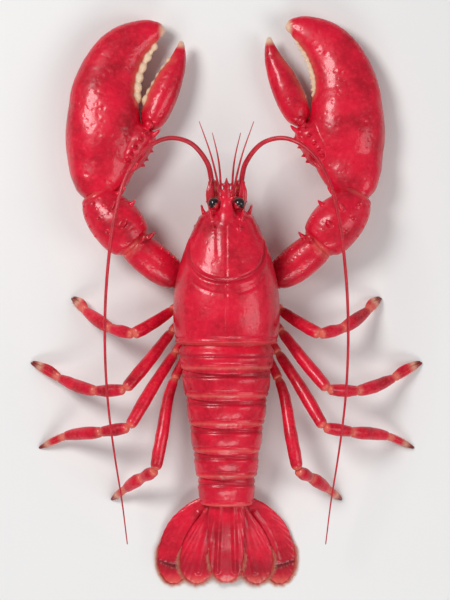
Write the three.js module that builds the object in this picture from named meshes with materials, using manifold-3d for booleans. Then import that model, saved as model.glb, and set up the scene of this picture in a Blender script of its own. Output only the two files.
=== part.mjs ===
// American lobster, life size, standing on its walking legs with both claws laid forward on the floor,
// the tail stretched out behind and the tail fan spread.
// Millimetres, +Z up, +Y towards the head, +X the animal's right. Y = 0 is the rear edge of the carapace.

import * as THREE from "three";
import { mergeVertices } from "three/addons/utils/BufferGeometryUtils.js";
import Module from "manifold-3d";

const wasm = await Module();
wasm.setup();

// Driving dimensions
const BODY_LENGTH = 403; // rostrum tip to the end of the tail fan
const SHELL_LENGTH = 0.347 * BODY_LENGTH; // carapace without the rostrum
const SHELL_HALF_WIDTH = 0.132 * BODY_LENGTH;
const SHELL_TOP = 101; // height of the back above the floor
const SHELL_HEM = 24; // lower edge of the carapace above the floor
const ROSTRUM_LENGTH = 0.072 * BODY_LENGTH;
const TAIL_LENGTH = 0.385 * BODY_LENGTH; // the six abdomen rings
const TAIL_HALF_WIDTH = [48.5, 26.5]; // first ring, last ring
const FAN_LENGTH = 83;
const FAN_HALF_WIDTH = 69.5;
const CLAW_LENGTH = 176;
const CLAW_WIDTH = 84;
const CRUSHER_THICKNESS = 54;
const CUTTER_THICKNESS = 46;
const EYE_RADIUS = 5.75;
const GAP = 0.3; // between pieces that touch
const SETTLE = 0.9; // how far claws and fan lie into the floor's plane, which leaves each a small flat
const CUTTER_SHIFT = [-2.5, 4]; // the right claw lies this much further in and forward

const UP = new THREE.Vector3(0, 0, 1);
const ACROSS = new THREE.Vector3(1, 0, 0);

// Turning geometry into solids and back

function solidOf(geometry) {
  const plain = geometry.clone();
  plain.deleteAttribute("normal");
  plain.deleteAttribute("uv");
  const merged = mergeVertices(plain, 1e-4);
  return new wasm.Manifold(
    new wasm.Mesh({
      numProp: 3,
      vertProperties: new Float32Array(merged.attributes.position.array),
      triVerts: new Uint32Array(merged.index.array),
    }),
  );
}

function geometryOf(solid) {
  const mesh = solid.getMesh();
  const geometry = new THREE.BufferGeometry();
  geometry.setAttribute("position", new THREE.BufferAttribute(new Float32Array(mesh.vertProperties), 3));
  geometry.setIndex(new THREE.BufferAttribute(new Uint32Array(mesh.triVerts), 1));
  geometry.computeVertexNormals();
  return geometry;
}

const join = (first, ...others) => others.reduce((sum, piece) => sum.add(piece), first);
const cut = (first, ...others) => others.reduce((rest, piece) => rest.subtract(piece), first);

function largest(solid) {
  const bodies = solid.decompose();
  return bodies.reduce((best, body) => (body.volume() > best.volume() ? body : best));
}

// A closed skin swept along a smooth line. Each place is [x, y, z] and each size is
// [half width, height above the line, depth below it], spread evenly from the first end to the last.
function sweep(places, sizes, options = {}) {
  const { sides = 12, rings = 14, power = 2, lowPower = power, grow = 0 } = options;
  const { headRound = 0.1, tailRound = 0.1, over = UP } = options;
  const line = new THREE.CatmullRomCurve3(
    places.map((place) => new THREE.Vector3(...place)),
    false,
    "catmullrom",
  );
  const size = new THREE.CatmullRomCurve3(
    sizes.map(([wide, up, down = up]) => new THREE.Vector3(wide, up, down)),
    false,
    "catmullrom",
  );
  const skin = new THREE.SphereGeometry(1, sides, rings);
  const position = skin.attributes.position;
  const bulge = (share, curve) => Math.sign(share) * Math.abs(share) ** (2 / curve);
  for (let ring = 0; ring <= rings; ring++) {
    const even = ring / rings;
    const t = 0.5 * even + 0.5 * (0.5 - 0.5 * Math.cos(Math.PI * even));
    const head = Math.min(1, t / headRound);
    const tail = Math.min(1, (1 - t) / tailRound);
    const round = Math.sqrt(1 - (1 - head) ** 2) * Math.sqrt(1 - (1 - tail) ** 2);
    const centre = line.getPoint(t);
    const along = line.getTangent(t);
    const left = new THREE.Vector3().crossVectors(over, along).normalize();
    const top = new THREE.Vector3().crossVectors(along, left);
    const { x: wide, y: up, z: down } = size.getPoint(t);
    let outward = head - tail; // a grown skin is longer too, so that its ends keep the gap
    if (ring <= 1) outward = -1;
    if (ring >= rings - 1) outward = 1;
    centre.addScaledVector(along, grow * outward);
    const swell = ring === 0 || ring === rings ? 0 : 1;
    for (let side = 0; side <= sides; side++) {
      const angle = (2 * Math.PI * side) / sides;
      const rise = Math.sin(angle);
      const curve = rise > 0 ? power : lowPower;
      const sideways = swell * (wide * round + grow) * bulge(-Math.cos(angle), curve);
      const upward = swell * ((rise > 0 ? up : down) * round + grow) * bulge(rise, curve);
      const point = centre.clone().addScaledVector(left, sideways).addScaledVector(top, upward);
      position.setXYZ(ring * (sides + 1) + side, point.x, point.y, point.z);
    }
  }
  return solidOf(skin);
}

// A piece that can also be made a gap larger all round, to clear its neighbour.
const piece = (places, sizes, options = {}) => ({
  solid: () => sweep(places, sizes, options),
  grown: () => sweep(places, sizes, { ...options, grow: GAP }),
});

function spine(root, tip, radius, sides = 5) {
  const from = new THREE.Vector3(...root);
  const reach = new THREE.Vector3(...tip).sub(from);
  const cone = new THREE.ConeGeometry(radius, reach.length(), sides);
  cone.translate(0, reach.length() / 2, 0);
  cone.applyQuaternion(
    new THREE.Quaternion().setFromUnitVectors(new THREE.Vector3(0, 1, 0), reach.clone().normalize()),
  );
  cone.translate(from.x, from.y, from.z);
  return solidOf(cone);
}

function ball([x, y, z], [wide, long, high], sides = 12, rings = 8) {
  const sphere = new THREE.SphereGeometry(1, sides, rings);
  sphere.scale(wide, long, high);
  sphere.translate(x, y, z);
  return solidOf(sphere);
}

function slab(low, high) {
  const [wide, long, tall] = high.map((value, axis) => value - low[axis]);
  const box = new THREE.BoxGeometry(wide, long, tall);
  box.translate((low[0] + high[0]) / 2, (low[1] + high[1]) / 2, (low[2] + high[2]) / 2);
  return solidOf(box);
}

const floor = slab([-400, -400, -60], [400, 500, 0]);
const onFloor = (solid) => largest(solid.subtract(floor));
const mirrored = (solid) => {
  const flipped = geometryOf(solid).scale(-1, 1, 1);
  const corners = flipped.index.array;
  for (let i = 0; i < corners.length; i += 3) [corners[i], corners[i + 1]] = [corners[i + 1], corners[i]];
  return solidOf(flipped);
};
const bothSides = (solid) => [solid, mirrored(solid)];
const blend = (from, to, share) => from + (to - from) * share;
const clamp = (share) => Math.min(1, Math.max(0, share));

// Cephalothorax: the carapace in seven stations from its rear edge to the orbits
const shellStations = [
  // half width, middle height, top and hem, as shares of the driving sizes
  [0.94, 0.55, 0.95, 0.86],
  [0.99, 0.55, 0.99, 0.84],
  [0.99, 0.56, 1.0, 0.83],
  [0.93, 0.58, 0.99, 0.98],
  [0.81, 0.61, 0.96, 1.45],
  [0.63, 0.62, 0.91, 1.75],
  [0.4, 0.63, 0.82, 1.95],
];
const SHELL_POWER = 2.15; // 2 is an ellipse, more is squarer
const shell = piece(
  shellStations.map(([, middle], i) => [0, (SHELL_LENGTH * i) / 6, middle * SHELL_TOP]),
  shellStations.map(([wide, middle, top, hem]) => [
    wide * SHELL_HALF_WIDTH,
    (top - middle) * SHELL_TOP,
    middle * SHELL_TOP - hem * SHELL_HEM,
  ]),
  { sides: 22, rings: 15, power: SHELL_POWER, lowPower: 2.6, headRound: 0.04, tailRound: 0.09 },
);
const rostrumBase = [0, SHELL_LENGTH - 24, 86];
const rostrumTip = [0, SHELL_LENGTH + ROSTRUM_LENGTH, 88];
const rostrum = sweep(
  [rostrumBase, [0, SHELL_LENGTH, 82], [0, SHELL_LENGTH + 15, 83.5], rostrumTip],
  [[13, 5, 7], [6.2, 4.2, 4.2], [4.2, 3.2, 3.2], [0.8, 0.8, 0.8]],
  { sides: 8, rings: 8, headRound: 0.2, tailRound: 0.06 },
);
const rostrumSpines = [5, 12, 19].flatMap((ahead) =>
  bothSides(spine([2.6, SHELL_LENGTH + ahead, 83], [8.6 - ahead * 0.12, SHELL_LENGTH + ahead + 7, 87], 2)),
);
const browSpines = bothSides(spine([14.5, SHELL_LENGTH - 12, 84], [16.5, SHELL_LENGTH - 1, 89], 2.8));
const cheekSpines = bothSides(spine([20, SHELL_LENGTH - 10, 64], [25, SHELL_LENGTH + 3, 66], 2.8));

// The cervical groove: a U across the back that runs forward down both cheeks
const GROOVE_MIDDLE = 66;
const GROOVE_SWEEP = 34;
function grooveAt(angle) {
  const turn = (angle - Math.PI / 2) / 1.2;
  const y = GROOVE_MIDDLE + GROOVE_SWEEP * turn * turn;
  const at = (y / SHELL_LENGTH) * (shellStations.length - 1);
  const i = Math.min(Math.floor(at), shellStations.length - 2);
  const ahead = shellStations[i + 1];
  const [wide, middle, top] = shellStations[i].map((value, k) => blend(value, ahead[k], at - i));
  const round = 2 / SHELL_POWER;
  return [
    Math.sign(Math.cos(angle)) * wide * SHELL_HALF_WIDTH * Math.abs(Math.cos(angle)) ** round,
    y,
    middle * SHELL_TOP + (top - middle) * SHELL_TOP * Math.sin(angle) ** round,
  ];
}
const groovePlaces = Array.from({ length: 11 }, (_, i) => grooveAt(blend(0.35, Math.PI - 0.35, i / 10)));
const groove = sweep(groovePlaces, [[2.6, 2.2], [2.6, 2.2]], {
  sides: 4, rings: 14, over: new THREE.Vector3(0, 1, 0.01),
});

// Head appendages, right side
const eyeCentre = [12.5, SHELL_LENGTH + 3, 75.5];
const eye = ball(eyeCentre, [EYE_RADIUS, EYE_RADIUS, EYE_RADIUS], 12, 8);
const eyeRoom = ball(eyeCentre, [EYE_RADIUS + GAP, EYE_RADIUS + GAP, EYE_RADIUS + GAP], 12, 8);
const orbit = ball(eyeCentre, [EYE_RADIUS + 2.6, EYE_RADIUS + 3.2, EYE_RADIUS + 2.8], 10, 6);
const stalk = piece(
  [[4.5, SHELL_LENGTH - 6, 71], [8.5, SHELL_LENGTH - 1, 73.5], [11.5, SHELL_LENGTH + 2, 75]],
  [[3.4, 3.4], [4.2, 4.2], [4.6, 4.6]],
  { sides: 8, rings: 5, headRound: 0.3, tailRound: 0.3 },
);
const peduncle = piece(
  [
    [10.5, SHELL_LENGTH - 12, 52], [12, SHELL_LENGTH + 6, 50],
    [13, SHELL_LENGTH + 17, 50.5], [14.2, SHELL_LENGTH + 27, 51.5],
  ],
  [[8, 8.5], [6.8, 7], [6.9, 6.6], [4.9, 5], [5.3, 5.3], [3.8, 3.8]],
  { sides: 10, rings: 10, headRound: 0.12, tailRound: 0.08 },
);
const antennalScale = sweep(
  [
    [14.5, SHELL_LENGTH - 3, 56], [16, SHELL_LENGTH + 8, 57.5],
    [16, SHELL_LENGTH + 18, 58], [14.6, SHELL_LENGTH + 29, 58],
  ],
  [[3, 1.6], [4.4, 1.4], [3.8, 1.2], [0.8, 0.7]],
  { sides: 6, rings: 6, power: 3, tailRound: 0.05 },
);
const FLAGELLUM_ROUTE = [
  [14.2, 163, 51.5], [19.5, 184, 57], [36, 203, 66], [60, 207, 75], [84, 193, 83],
  [101, 165, 88], [111, 126, 91], [117, 82, 91], [120, 36, 88], [120, -12, 83],
  [117, -60, 75], [111, -108, 64], [104, -154, 52], [99, -196, 41],
];
const flagellum = piece(FLAGELLUM_ROUTE, [[2.9, 2.9], [2.3, 2.3], [1.8, 1.8], [1.3, 1.3], [0.6, 0.6]], {
  sides: 5, rings: 26, headRound: 0.01, tailRound: 0.01,
});
const antennuleStem = piece(
  [[4.6, SHELL_LENGTH - 8, 63], [5.2, SHELL_LENGTH + 5, 63], [6, SHELL_LENGTH + 15, 62]],
  [[3.3, 3.3], [3.3, 3.3], [2.4, 2.6], [2.6, 2.6], [2, 2]],
  { sides: 7, rings: 6 },
);
const antennuleWhips = [
  // across, ahead of the orbits, height
  [[6.5, 12, 62.5], [11, 34, 67], [17, 56, 69], [27, 84, 68]],
  [[5.5, 12, 61.5], [6.5, 34, 63], [9, 52, 63], [14, 73, 60]],
].map((route) =>
  sweep(
    route.map(([x, ahead, z]) => [x, SHELL_LENGTH + ahead, z]),
    [[1.4, 1.4], [1.1, 1.1], [0.8, 0.8], [0.4, 0.4]],
    { sides: 5, rings: 8 },
  ),
);
const maxilliped = piece(
  [[9, 82, 17.5], [12, 104, 19], [11, 130, 25], [8, 149, 31], [6, 160, 29]],
  [[5.5, 5], [6.5, 5.6], [5, 5], [5.6, 5], [4, 3.8], [3.6, 3.4], [1.4, 1.4]],
  { sides: 8, rings: 11, headRound: 0.08, tailRound: 0.06 },
);
const maxillipedTeeth = [112, 119, 126, 133].map((y) =>
  spine([8, y, 20 + (y - 104) * 0.24], [3.4, y + 2, 21 + (y - 104) * 0.24], 1.6, 4),
);

// Chelipeds, right side, from the sternum outwards
const ischium = piece(
  [[20, 82, 22], [33, 77, 23], [48, 70, 26]],
  [[10, 8], [11, 9], [10, 9], [12.5, 11]],
  { sides: 10, rings: 6, headRound: 0.12 },
);
const merus = piece(
  [[43, 69, 25.5], [58.5, 75.5, 30], [75.5, 88, 35], [95.5, 104.5, 40]],
  [[11, 9.5], [15.5, 13], [18, 15], [18, 16], [16, 15]],
  { sides: 10, rings: 7, headRound: 0.14, tailRound: 0.1 },
);
const carpus = piece(
  [[88, 98, 38], [104, 117, 39], [120.5, 136, 37], [132, 156, 34]],
  [[17, 14], [24.5, 19], [25.5, 21], [21.5, 18], [15, 13]],
  { sides: 12, rings: 8, headRound: 0.16, tailRound: 0.12 },
);
const carpusSpines = [
  spine([94, 126, 44], [84, 132, 50], 4), spine([101.5, 138.5, 44], [90.5, 147.5, 49], 4.4),
  spine([111, 151, 42], [100, 161, 46], 4), spine([105, 120, 56], [99, 128, 64], 3.6),
  spine([116, 137, 55], [111, 146, 62], 3.6),
];
const merusSpines = [
  spine([80, 108.5, 44], [71, 116.5, 50], 3.4), spine([93, 116.5, 46], [83, 125.5, 52], 3.6),
  spine([86, 102.5, 50], [82, 110.5, 57], 3.2),
];

// A claw in its own frame: [inward shift, place along, half width, half thickness] as shares of the claw's
// width, length, width and thickness, from the wrist to the tip of the fixed finger
const palmStations = [
  [-0.01, -0.035, 0.16, 0.24],
  [0.045, 0.085, 0.335, 0.38],
  [0.09, 0.205, 0.42, 0.47],
  [0.11, 0.345, 0.455, 0.5],
  [0.115, 0.475, 0.43, 0.47],
  [0.12, 0.6, 0.385, 0.41],
  [0.205, 0.727, 0.335, 0.34],
  [0.365, 0.84, 0.285, 0.28],
  [0.575, 0.913, 0.2, 0.21],
  [0.74, 0.94, 0.12, 0.15],
  [0.848, 0.938, 0.035, 0.05],
];
const shoulderStations = [
  [0.3, 0.145, 0.19, 0.34],
  [0.4, 0.235, 0.215, 0.4],
  [0.53, 0.32, 0.2, 0.37],
  [0.64, 0.4, 0.16, 0.32],
];
const dactylStations = [
  [0.635, 0.375, 0.11, 0.25],
  [0.72, 0.465, 0.165, 0.3],
  [0.8, 0.555, 0.18, 0.29],
  [0.893, 0.655, 0.16, 0.25],
  [0.985, 0.75, 0.11, 0.19],
  [1.03, 0.83, 0.062, 0.12],
  [1.04, 0.885, 0.02, 0.04],
];
const wrist = [132.5, 151];
const WRIST_HEIGHT = 33;

function claw({ thickness, shift, molars }) {
  const height = (along) => blend(WRIST_HEIGHT, thickness / 2 - SETTLE, clamp(along / 0.2));
  const sag = (along) => Math.max(0, along - 0.5) * 0.22 * thickness;
  const place = ([inward, along]) => {
    const moved = clamp(along * 6);
    return [
      wrist[0] + shift[0] * moved - inward * CLAW_WIDTH,
      wrist[1] + shift[1] * moved + along * CLAW_LENGTH,
      height(along) - sag(along),
    ];
  };
  const size = ([, , wide, thick]) => [wide * CLAW_WIDTH, thick * thickness];
  const part = (stations, options) => piece(stations.map(place), stations.map(size), options);
  const palm = part(palmStations, { sides: 14, rings: 18, power: 2.1, headRound: 0.04, tailRound: 0.03 });
  const shoulder = part(shoulderStations, { sides: 10, rings: 5, headRound: 0.3, tailRound: 0.2 });
  const dactyl = part(dactylStations, { sides: 10, rings: 12, headRound: 0.12, tailRound: 0.03 });
  // Teeth along the facing edges: [inward, along, share of the row]
  const row = (from, to, count, bow) =>
    Array.from({ length: count }, (_, i) => {
      const share = i / (count - 1);
      return [
        blend(from[0], to[0], share) - bow * Math.sin(Math.PI * share),
        blend(from[1], to[1], share),
        share,
      ];
    });
  const count = molars ? 6 : 8;
  const radius = (share) => (molars ? blend(5.6, 3.2, share) : blend(3, 1.8, share));
  const tooth = ([inward, along, share]) => {
    const r = radius(share);
    return ball(place([inward, along]), [r, r * 1.1, r], molars ? 6 : 5, molars ? 4 : 3);
  };
  const fixedTeeth = row([0.49, 0.56], [0.71, 0.85], count, 0.055).map(tooth);
  const movingTeeth = row([0.645, 0.54], [0.9, 0.765], count, 0.01).map(tooth);
  const palmSpines = [0.17, 0.235, 0.3, 0.365].flatMap((along, i) => {
    const [x, y, z] = place([0.52 + 0.085 * i, along]);
    return [spine([x + 9, y - 5, z + 9], [x - 2, y + 4, z + 17 - i], 3.6)];
  });
  return {
    hand: join(palm.solid(), shoulder.solid(), ...fixedTeeth, ...palmSpines),
    handRoom: palm.grown(),
    dactyl: join(dactyl.solid(), ...movingTeeth),
    dactylRoom: dactyl.grown(),
  };
}
const crusher = claw({ thickness: CRUSHER_THICKNESS, shift: [0, 0], molars: true });
const cutter = claw({ thickness: CUTTER_THICKNESS, shift: CUTTER_SHIFT, molars: false });

// Walking legs, right side, front pair first: root, two places under the shell, knee, shin, ankle, tip
const legRoutes = [
  [
    [23, 60, 18.5], [50, 40, 21.5], [73, 24, 41], [93, 13, 57],
    [118, 20, 38], [141, 36, 15], [156, 49, 0],
  ],
  [
    [23, 45, 18.5], [50, 21, 21.5], [76, -12, 41], [101, -42, 59],
    [134, -43, 41], [166, -32, 17], [197, -16, 0],
  ],
  [
    [23, 30, 18.5], [47, 1, 20], [73, -39, 40], [97, -80, 57],
    [128, -85, 41], [160, -89, 17], [189, -102, 0],
  ],
  [
    [22, 15, 18.5], [43, -14, 19.5], [57, -46, 33], [64, -86, 46],
    [71, -123, 50], [93, -136, 25], [116, -154, 0],
  ],
];
const upperSizes = [
  [5.2, 5, 8.5], [5.2, 5, 7], [4.6, 4.6], [5.4, 5.4], [6.2, 6.2], [6.5, 6.5], [5.8, 5.8],
];
const lowerSizes = [
  [4.8, 4.8], [6.4, 6], [5.2, 5], [6.6, 5.8], [6, 5.2], [4, 3.6], [3.4, 3], [1.3, 1.3],
];
const legs = legRoutes.map((route, order) => {
  const kneeAt = order === 3 ? 4 : 3;
  const upper = piece(route.slice(0, kneeAt + 1), upperSizes, {
    sides: 7, rings: 7, headRound: 0.05, tailRound: 0.07,
  });
  const lowerRoute = route.slice(kneeAt);
  const lower = piece(lowerRoute, lowerSizes, { sides: 7, rings: 10, headRound: 0.05, tailRound: 0.03 });
  // The first two pairs end in a small pincer: a second finger beside the last stretch
  const [ankle, tip] = lowerRoute.slice(-2);
  const reach = [tip[0] - ankle[0], tip[1] - ankle[1]];
  const aside = [-reach[1] / Math.hypot(...reach), reach[0] / Math.hypot(...reach)];
  const finger = (share, off) => [
    blend(ankle[0], tip[0], share) + aside[0] * off,
    blend(ankle[1], tip[1], share) + aside[1] * off,
    blend(ankle[2], tip[2], share) + 1,
  ];
  const pincer = sweep(
    [finger(0, 1), finger(0.4, 4.4), finger(0.75, 3.6), finger(0.97, 1.9)],
    [[3.2, 3], [2.6, 2.2], [1.8, 1.6], [0.8, 0.8]],
    { sides: 5, rings: 6, headRound: 0.15, tailRound: 0.06 },
  );
  const whole = order < 2 ? join(lower.solid(), pincer) : lower.solid();
  return { upper: cut(upper.solid(), lower.grown()), upperRoom: upper.grown(), lower: whole };
});

// Sternum and mouth parts
const sternumPlate = sweep(
  [[0, 3, 18], [0, 32, 17.5], [0, 62, 17.5], [0, 86, 18.5], [0, 104, 21]],
  [[19, 8, 5], [27, 8, 5.5], [29, 8, 5.5], [27, 8, 5.5], [12, 7, 5]],
  { sides: 10, rings: 6, power: 3, headRound: 0.08 },
);
const mouth = sweep(
  [[0, 78, 24], [0, 96, 30], [0, 114, 38], [0, 130, 47]],
  [[13, 6], [15, 9], [13, 10], [9, 8]],
  { sides: 8, rings: 5 },
);
const aboveSternum = slab([-60, -20, SHELL_HEM - GAP], [60, 90, 60]);

// Abdomen: six rings, each tucked under the one before
const RING_SHARES = [0.11, 0.18, 0.18, 0.175, 0.165, 0.19];
const TUCK = 9;
const LIP = 4;
const tailAt = (y) => {
  const share = clamp(-y / TAIL_LENGTH);
  const wide = blend(TAIL_HALF_WIDTH[0], TAIL_HALF_WIDTH[1], share);
  const top = blend(93, 38, share ** 1.25);
  const hem = blend(36, 9, share ** 0.9);
  return { wide, top, hem, middle: blend(hem, top, 0.36) };
};
const ringEdges = RING_SHARES.reduce((edges, share) => [...edges, edges.at(-1) - share * TAIL_LENGTH], [0]);
function abdomenRing(order) {
  const front = ringEdges[order] + TUCK;
  const rear = ringEdges[order + 1] - LIP;
  const stations = [0, 0.2, 0.45, 0.75, 1].map((share) => {
    const y = blend(front, rear, share);
    const { wide, top, hem, middle } = tailAt(y);
    const tuck = share < 0.3 ? 5.2 : 0.9 * (1 - share);
    return { y, middle, wide: wide - tuck, up: top - middle - tuck, down: middle - hem - 0.5 * tuck };
  });
  return piece(
    stations.map(({ y, middle }) => [0, y, middle]),
    stations.map(({ wide, up, down }) => [wide, up, down]),
    { sides: 16, rings: 6, power: 2.1, lowPower: 3.2, headRound: 0.08, tailRound: 0.08 },
  );
}
function pleuron(order) {
  const middleY = (ringEdges[order] + ringEdges[order + 1]) / 2;
  const { wide, hem, middle } = tailAt(middleY);
  const reach = 0.5 * (ringEdges[order] - ringEdges[order + 1]);
  const drop = Math.min(12.5, 0.68 * hem); // the flap's point hangs this far below the ring
  return sweep(
    [
      [wide - 7, middleY + 1, middle + 4],
      [wide - 3, middleY, hem + 6],
      [wide - 4.5, middleY - 4, hem - 0.3 * drop],
      [wide - 7.5, middleY - reach + 1, hem - drop],
    ],
    [[reach - 3, 3], [reach - 1.6, 2.6], [0.58 * reach, 2], [0.8, 0.8]],
    { sides: 5, rings: 5, power: 2.6, over: ACROSS, headRound: 0.15, tailRound: 0.06 },
  );
}
const rings = RING_SHARES.map((_, order) => abdomenRing(order));

// Swimmerets: a short stem and two leaves under the second to the fifth ring, right side
function swimmeret(order) {
  const y = (ringEdges[order] + ringEdges[order + 1]) / 2 + 3;
  const { wide, hem } = tailAt(y);
  const x = 0.42 * wide;
  const stem = sweep(
    [[x, y, hem + 5], [x + 1, y - 3, hem - 1], [x + 2, y - 6, hem - 3.5]],
    [[3.4, 2.4], [3.2, 2.2], [3, 1.8]],
    { sides: 4, rings: 3, over: new THREE.Vector3(0, 1, 0.2) },
  );
  const leaf = (aside, long) =>
    sweep(
      [
        [x + 2, y - 4, hem - 3],
        [x + 2 + 0.7 * aside, y - 4 - 0.5 * long, hem - 5],
        [x + 2 + aside, y - 4 - long, hem - 6],
      ],
      [[2.2, 1.2], [4.6, 1], [4.2, 0.8], [1.2, 0.6]],
      { sides: 5, rings: 4, power: 2.6 },
    );
  return join(stem, leaf(6.5, 19), leaf(-4.5, 17));
}

// Tail fan: telson on top, inner uropods under it, outer uropods lowest
const fanPlace = (aside, back, height) => [aside * FAN_HALF_WIDTH, -TAIL_LENGTH - back * FAN_LENGTH, height];
const telson = piece(
  [fanPlace(0, -0.1, 23), fanPlace(0, 0.25, 21), fanPlace(0, 0.62, 13.2), fanPlace(0, 0.985, 6.4)],
  [[15, 5], [18.5, 4.6], [18, 3], [16.5, 1.9], [11, 1.1]],
  { sides: 10, rings: 12, power: 2.6, headRound: 0.12, tailRound: 0.14 },
);
const endopod = piece(
  [
    fanPlace(0.13, -0.06, 16), fanPlace(0.245, 0.25, 15.4),
    fanPlace(0.39, 0.62, 7.8), fanPlace(0.455, 1, 2.9),
  ],
  [[5, 3.4], [10, 2.6], [16.5, 1.9], [18, 1.5], [12, 0.9]],
  { sides: 8, rings: 11, power: 2.8, headRound: 0.08, tailRound: 0.17 },
);
const exopod = piece(
  [
    fanPlace(0.245, -0.04, 12), fanPlace(0.475, 0.2, 9.4),
    fanPlace(0.69, 0.56, 3.4), fanPlace(0.8, 1, 0.9 - SETTLE),
  ],
  [[5, 3], [13, 2.4], [19.5, 1.9], [18.5, 1.4], [12, 0.8]],
  { sides: 8, rings: 11, power: 2.8, headRound: 0.06, tailRound: 0.17 },
);
const fanRidge = (places) => sweep(places, [[1.3, 1.5], [1.8, 1.6], [0.7, 0.8]], { sides: 4, rings: 6 });
const telsonRidges = [-0.1, 0.1].map((aside) =>
  fanRidge([fanPlace(aside, 0.08, 25), fanPlace(aside * 1.1, 0.4, 20.4), fanPlace(aside * 1.2, 0.78, 12)]),
);
const endopodRidge = fanRidge([
  fanPlace(0.19, 0.14, 18.2), fanPlace(0.31, 0.42, 14), fanPlace(0.41, 0.8, 7),
]);
const exopodRidge = fanRidge([
  fanPlace(0.4, 0.14, 12.2), fanPlace(0.62, 0.42, 7.6), fanPlace(0.75, 0.8, 3),
]);

const shellPaint = new THREE.MeshStandardMaterial({ color: 0xd41b3b, roughness: 0.35, metalness: 0 });
const limbPaint = new THREE.MeshStandardMaterial({ color: 0xcf2440, roughness: 0.4, metalness: 0 });
const bellyPaint = new THREE.MeshStandardMaterial({ color: 0xd9654f, roughness: 0.5, metalness: 0 });
const feelerPaint = new THREE.MeshStandardMaterial({ color: 0xc41a35, roughness: 0.45, metalness: 0 });
const eyePaint = new THREE.MeshStandardMaterial({ color: 0x0d0a0a, roughness: 0.1, metalness: 0 });

const lobster = new THREE.Group();
function add(name, solid, paint) {
  const mesh = new THREE.Mesh(geometryOf(onFloor(solid)), paint);
  mesh.name = name;
  lobster.add(mesh);
  return mesh;
}
function addLeft(name, solid, paint) {
  add(name, solid, paint).scale.x = -1;
}
function addPair(name, solid, paint) {
  add(`${name}_right`, solid, paint);
  addLeft(`${name}_left`, solid, paint);
}

const armRooms = bothSides(join(ischium.grown(), merus.grown()));
const headRooms = bothSides(join(peduncle.grown(), stalk.grown(), antennuleStem.grown(), orbit));
add(
  "carapace",
  cut(
    join(shell.solid(), rostrum, ...rostrumSpines, ...browSpines, ...cheekSpines),
    groove,
    slab([-80, -20, 0], [80, 92, SHELL_HEM]),
    rings[0].grown(),
    ...armRooms,
    ...headRooms,
  ),
  shellPaint,
);
const legRooms = legs.flatMap(({ upperRoom }) => bothSides(upperRoom));
add(
  "sternum",
  cut(
    join(cut(sternumPlate, aboveSternum), cut(mouth, shell.grown())),
    ...legRooms,
    ...armRooms,
    ...bothSides(maxilliped.grown()),
  ),
  bellyPaint,
);

addPair("eyestalk", cut(stalk.solid(), eyeRoom), limbPaint);
addPair("eye", eye, eyePaint);
addPair("antennule", join(antennuleStem.solid(), ...antennuleWhips), feelerPaint);
addPair("antenna_base", cut(join(peduncle.solid(), antennalScale), flagellum.grown()), limbPaint);
addPair("antenna", flagellum.solid(), feelerPaint);
addPair("maxilliped", join(maxilliped.solid(), ...maxillipedTeeth), limbPaint);

addPair("claw_ischium", cut(ischium.solid(), merus.grown()), limbPaint);
addPair("claw_merus", cut(join(merus.solid(), ...merusSpines), carpus.grown()), shellPaint);
add("claw_carpus_right", cut(join(carpus.solid(), ...carpusSpines), cutter.handRoom), shellPaint);
addLeft("claw_carpus_left", cut(join(carpus.solid(), ...carpusSpines), crusher.handRoom), shellPaint);
add("cutter_hand_right", cut(cutter.hand, cutter.dactylRoom), shellPaint);
add("cutter_dactyl_right", cutter.dactyl, shellPaint);
addLeft("crusher_hand_left", cut(crusher.hand, crusher.dactylRoom), shellPaint);
addLeft("crusher_dactyl_left", crusher.dactyl, shellPaint);

legs.forEach(({ upper, lower }, order) => {
  addPair(`leg_${order + 1}_upper`, upper, limbPaint);
  addPair(`leg_${order + 1}_lower`, lower, limbPaint);
});

const fanRooms = [telson.grown(), ...bothSides(endopod.grown()), ...bothSides(exopod.grown())];
rings.forEach((ring, order) => {
  const flaps = order > 0 ? bothSides(pleuron(order)) : [];
  const inside = order < 5 ? [rings[order + 1].grown()] : fanRooms;
  add(`abdomen_${order + 1}`, cut(join(ring.solid(), ...flaps), ...inside), shellPaint);
});
[1, 2, 3, 4].forEach((order) =>
  addPair(`swimmeret_${order + 1}`, cut(swimmeret(order), rings[order].grown()), bellyPaint),
);

add("telson", join(telson.solid(), ...telsonRidges), shellPaint);
addPair("inner_uropod", cut(join(endopod.solid(), endopodRidge), telson.grown()), shellPaint);
addPair("outer_uropod", cut(join(exopod.solid(), exopodRidge), endopod.grown()), shellPaint);

// The origin is the middle of the box's floor
const box = new THREE.Box3().setFromObject(lobster);
const middle = box.getCenter(new THREE.Vector3());
lobster.position.set(-middle.x, -middle.y, -box.min.z);

export default lobster;
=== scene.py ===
# %% [markdown]
# # A lobster in its shell plates
#
# A lobster wears its skeleton on the outside. Every part that is seen is a hard plate or a hard tube:
# a long shield over the back, six rings for the tail, a fan, two claws, eight legs and the feelers.
# A sculptor would cast each plate alone and fit them together, and this lesson does the same. Each plate
# is swept along a smooth line with an oval section that swells and shrinks, then its grooves, rims,
# teeth and thorns are worked into the surface, and last come the rings and bristles that repeat.
#
# The frame holds the plain solids of all the plates at their real size. Each piece made here takes the
# place of one of them, so the first step is to load that frame and to note its box.

import itertools
import math

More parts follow.
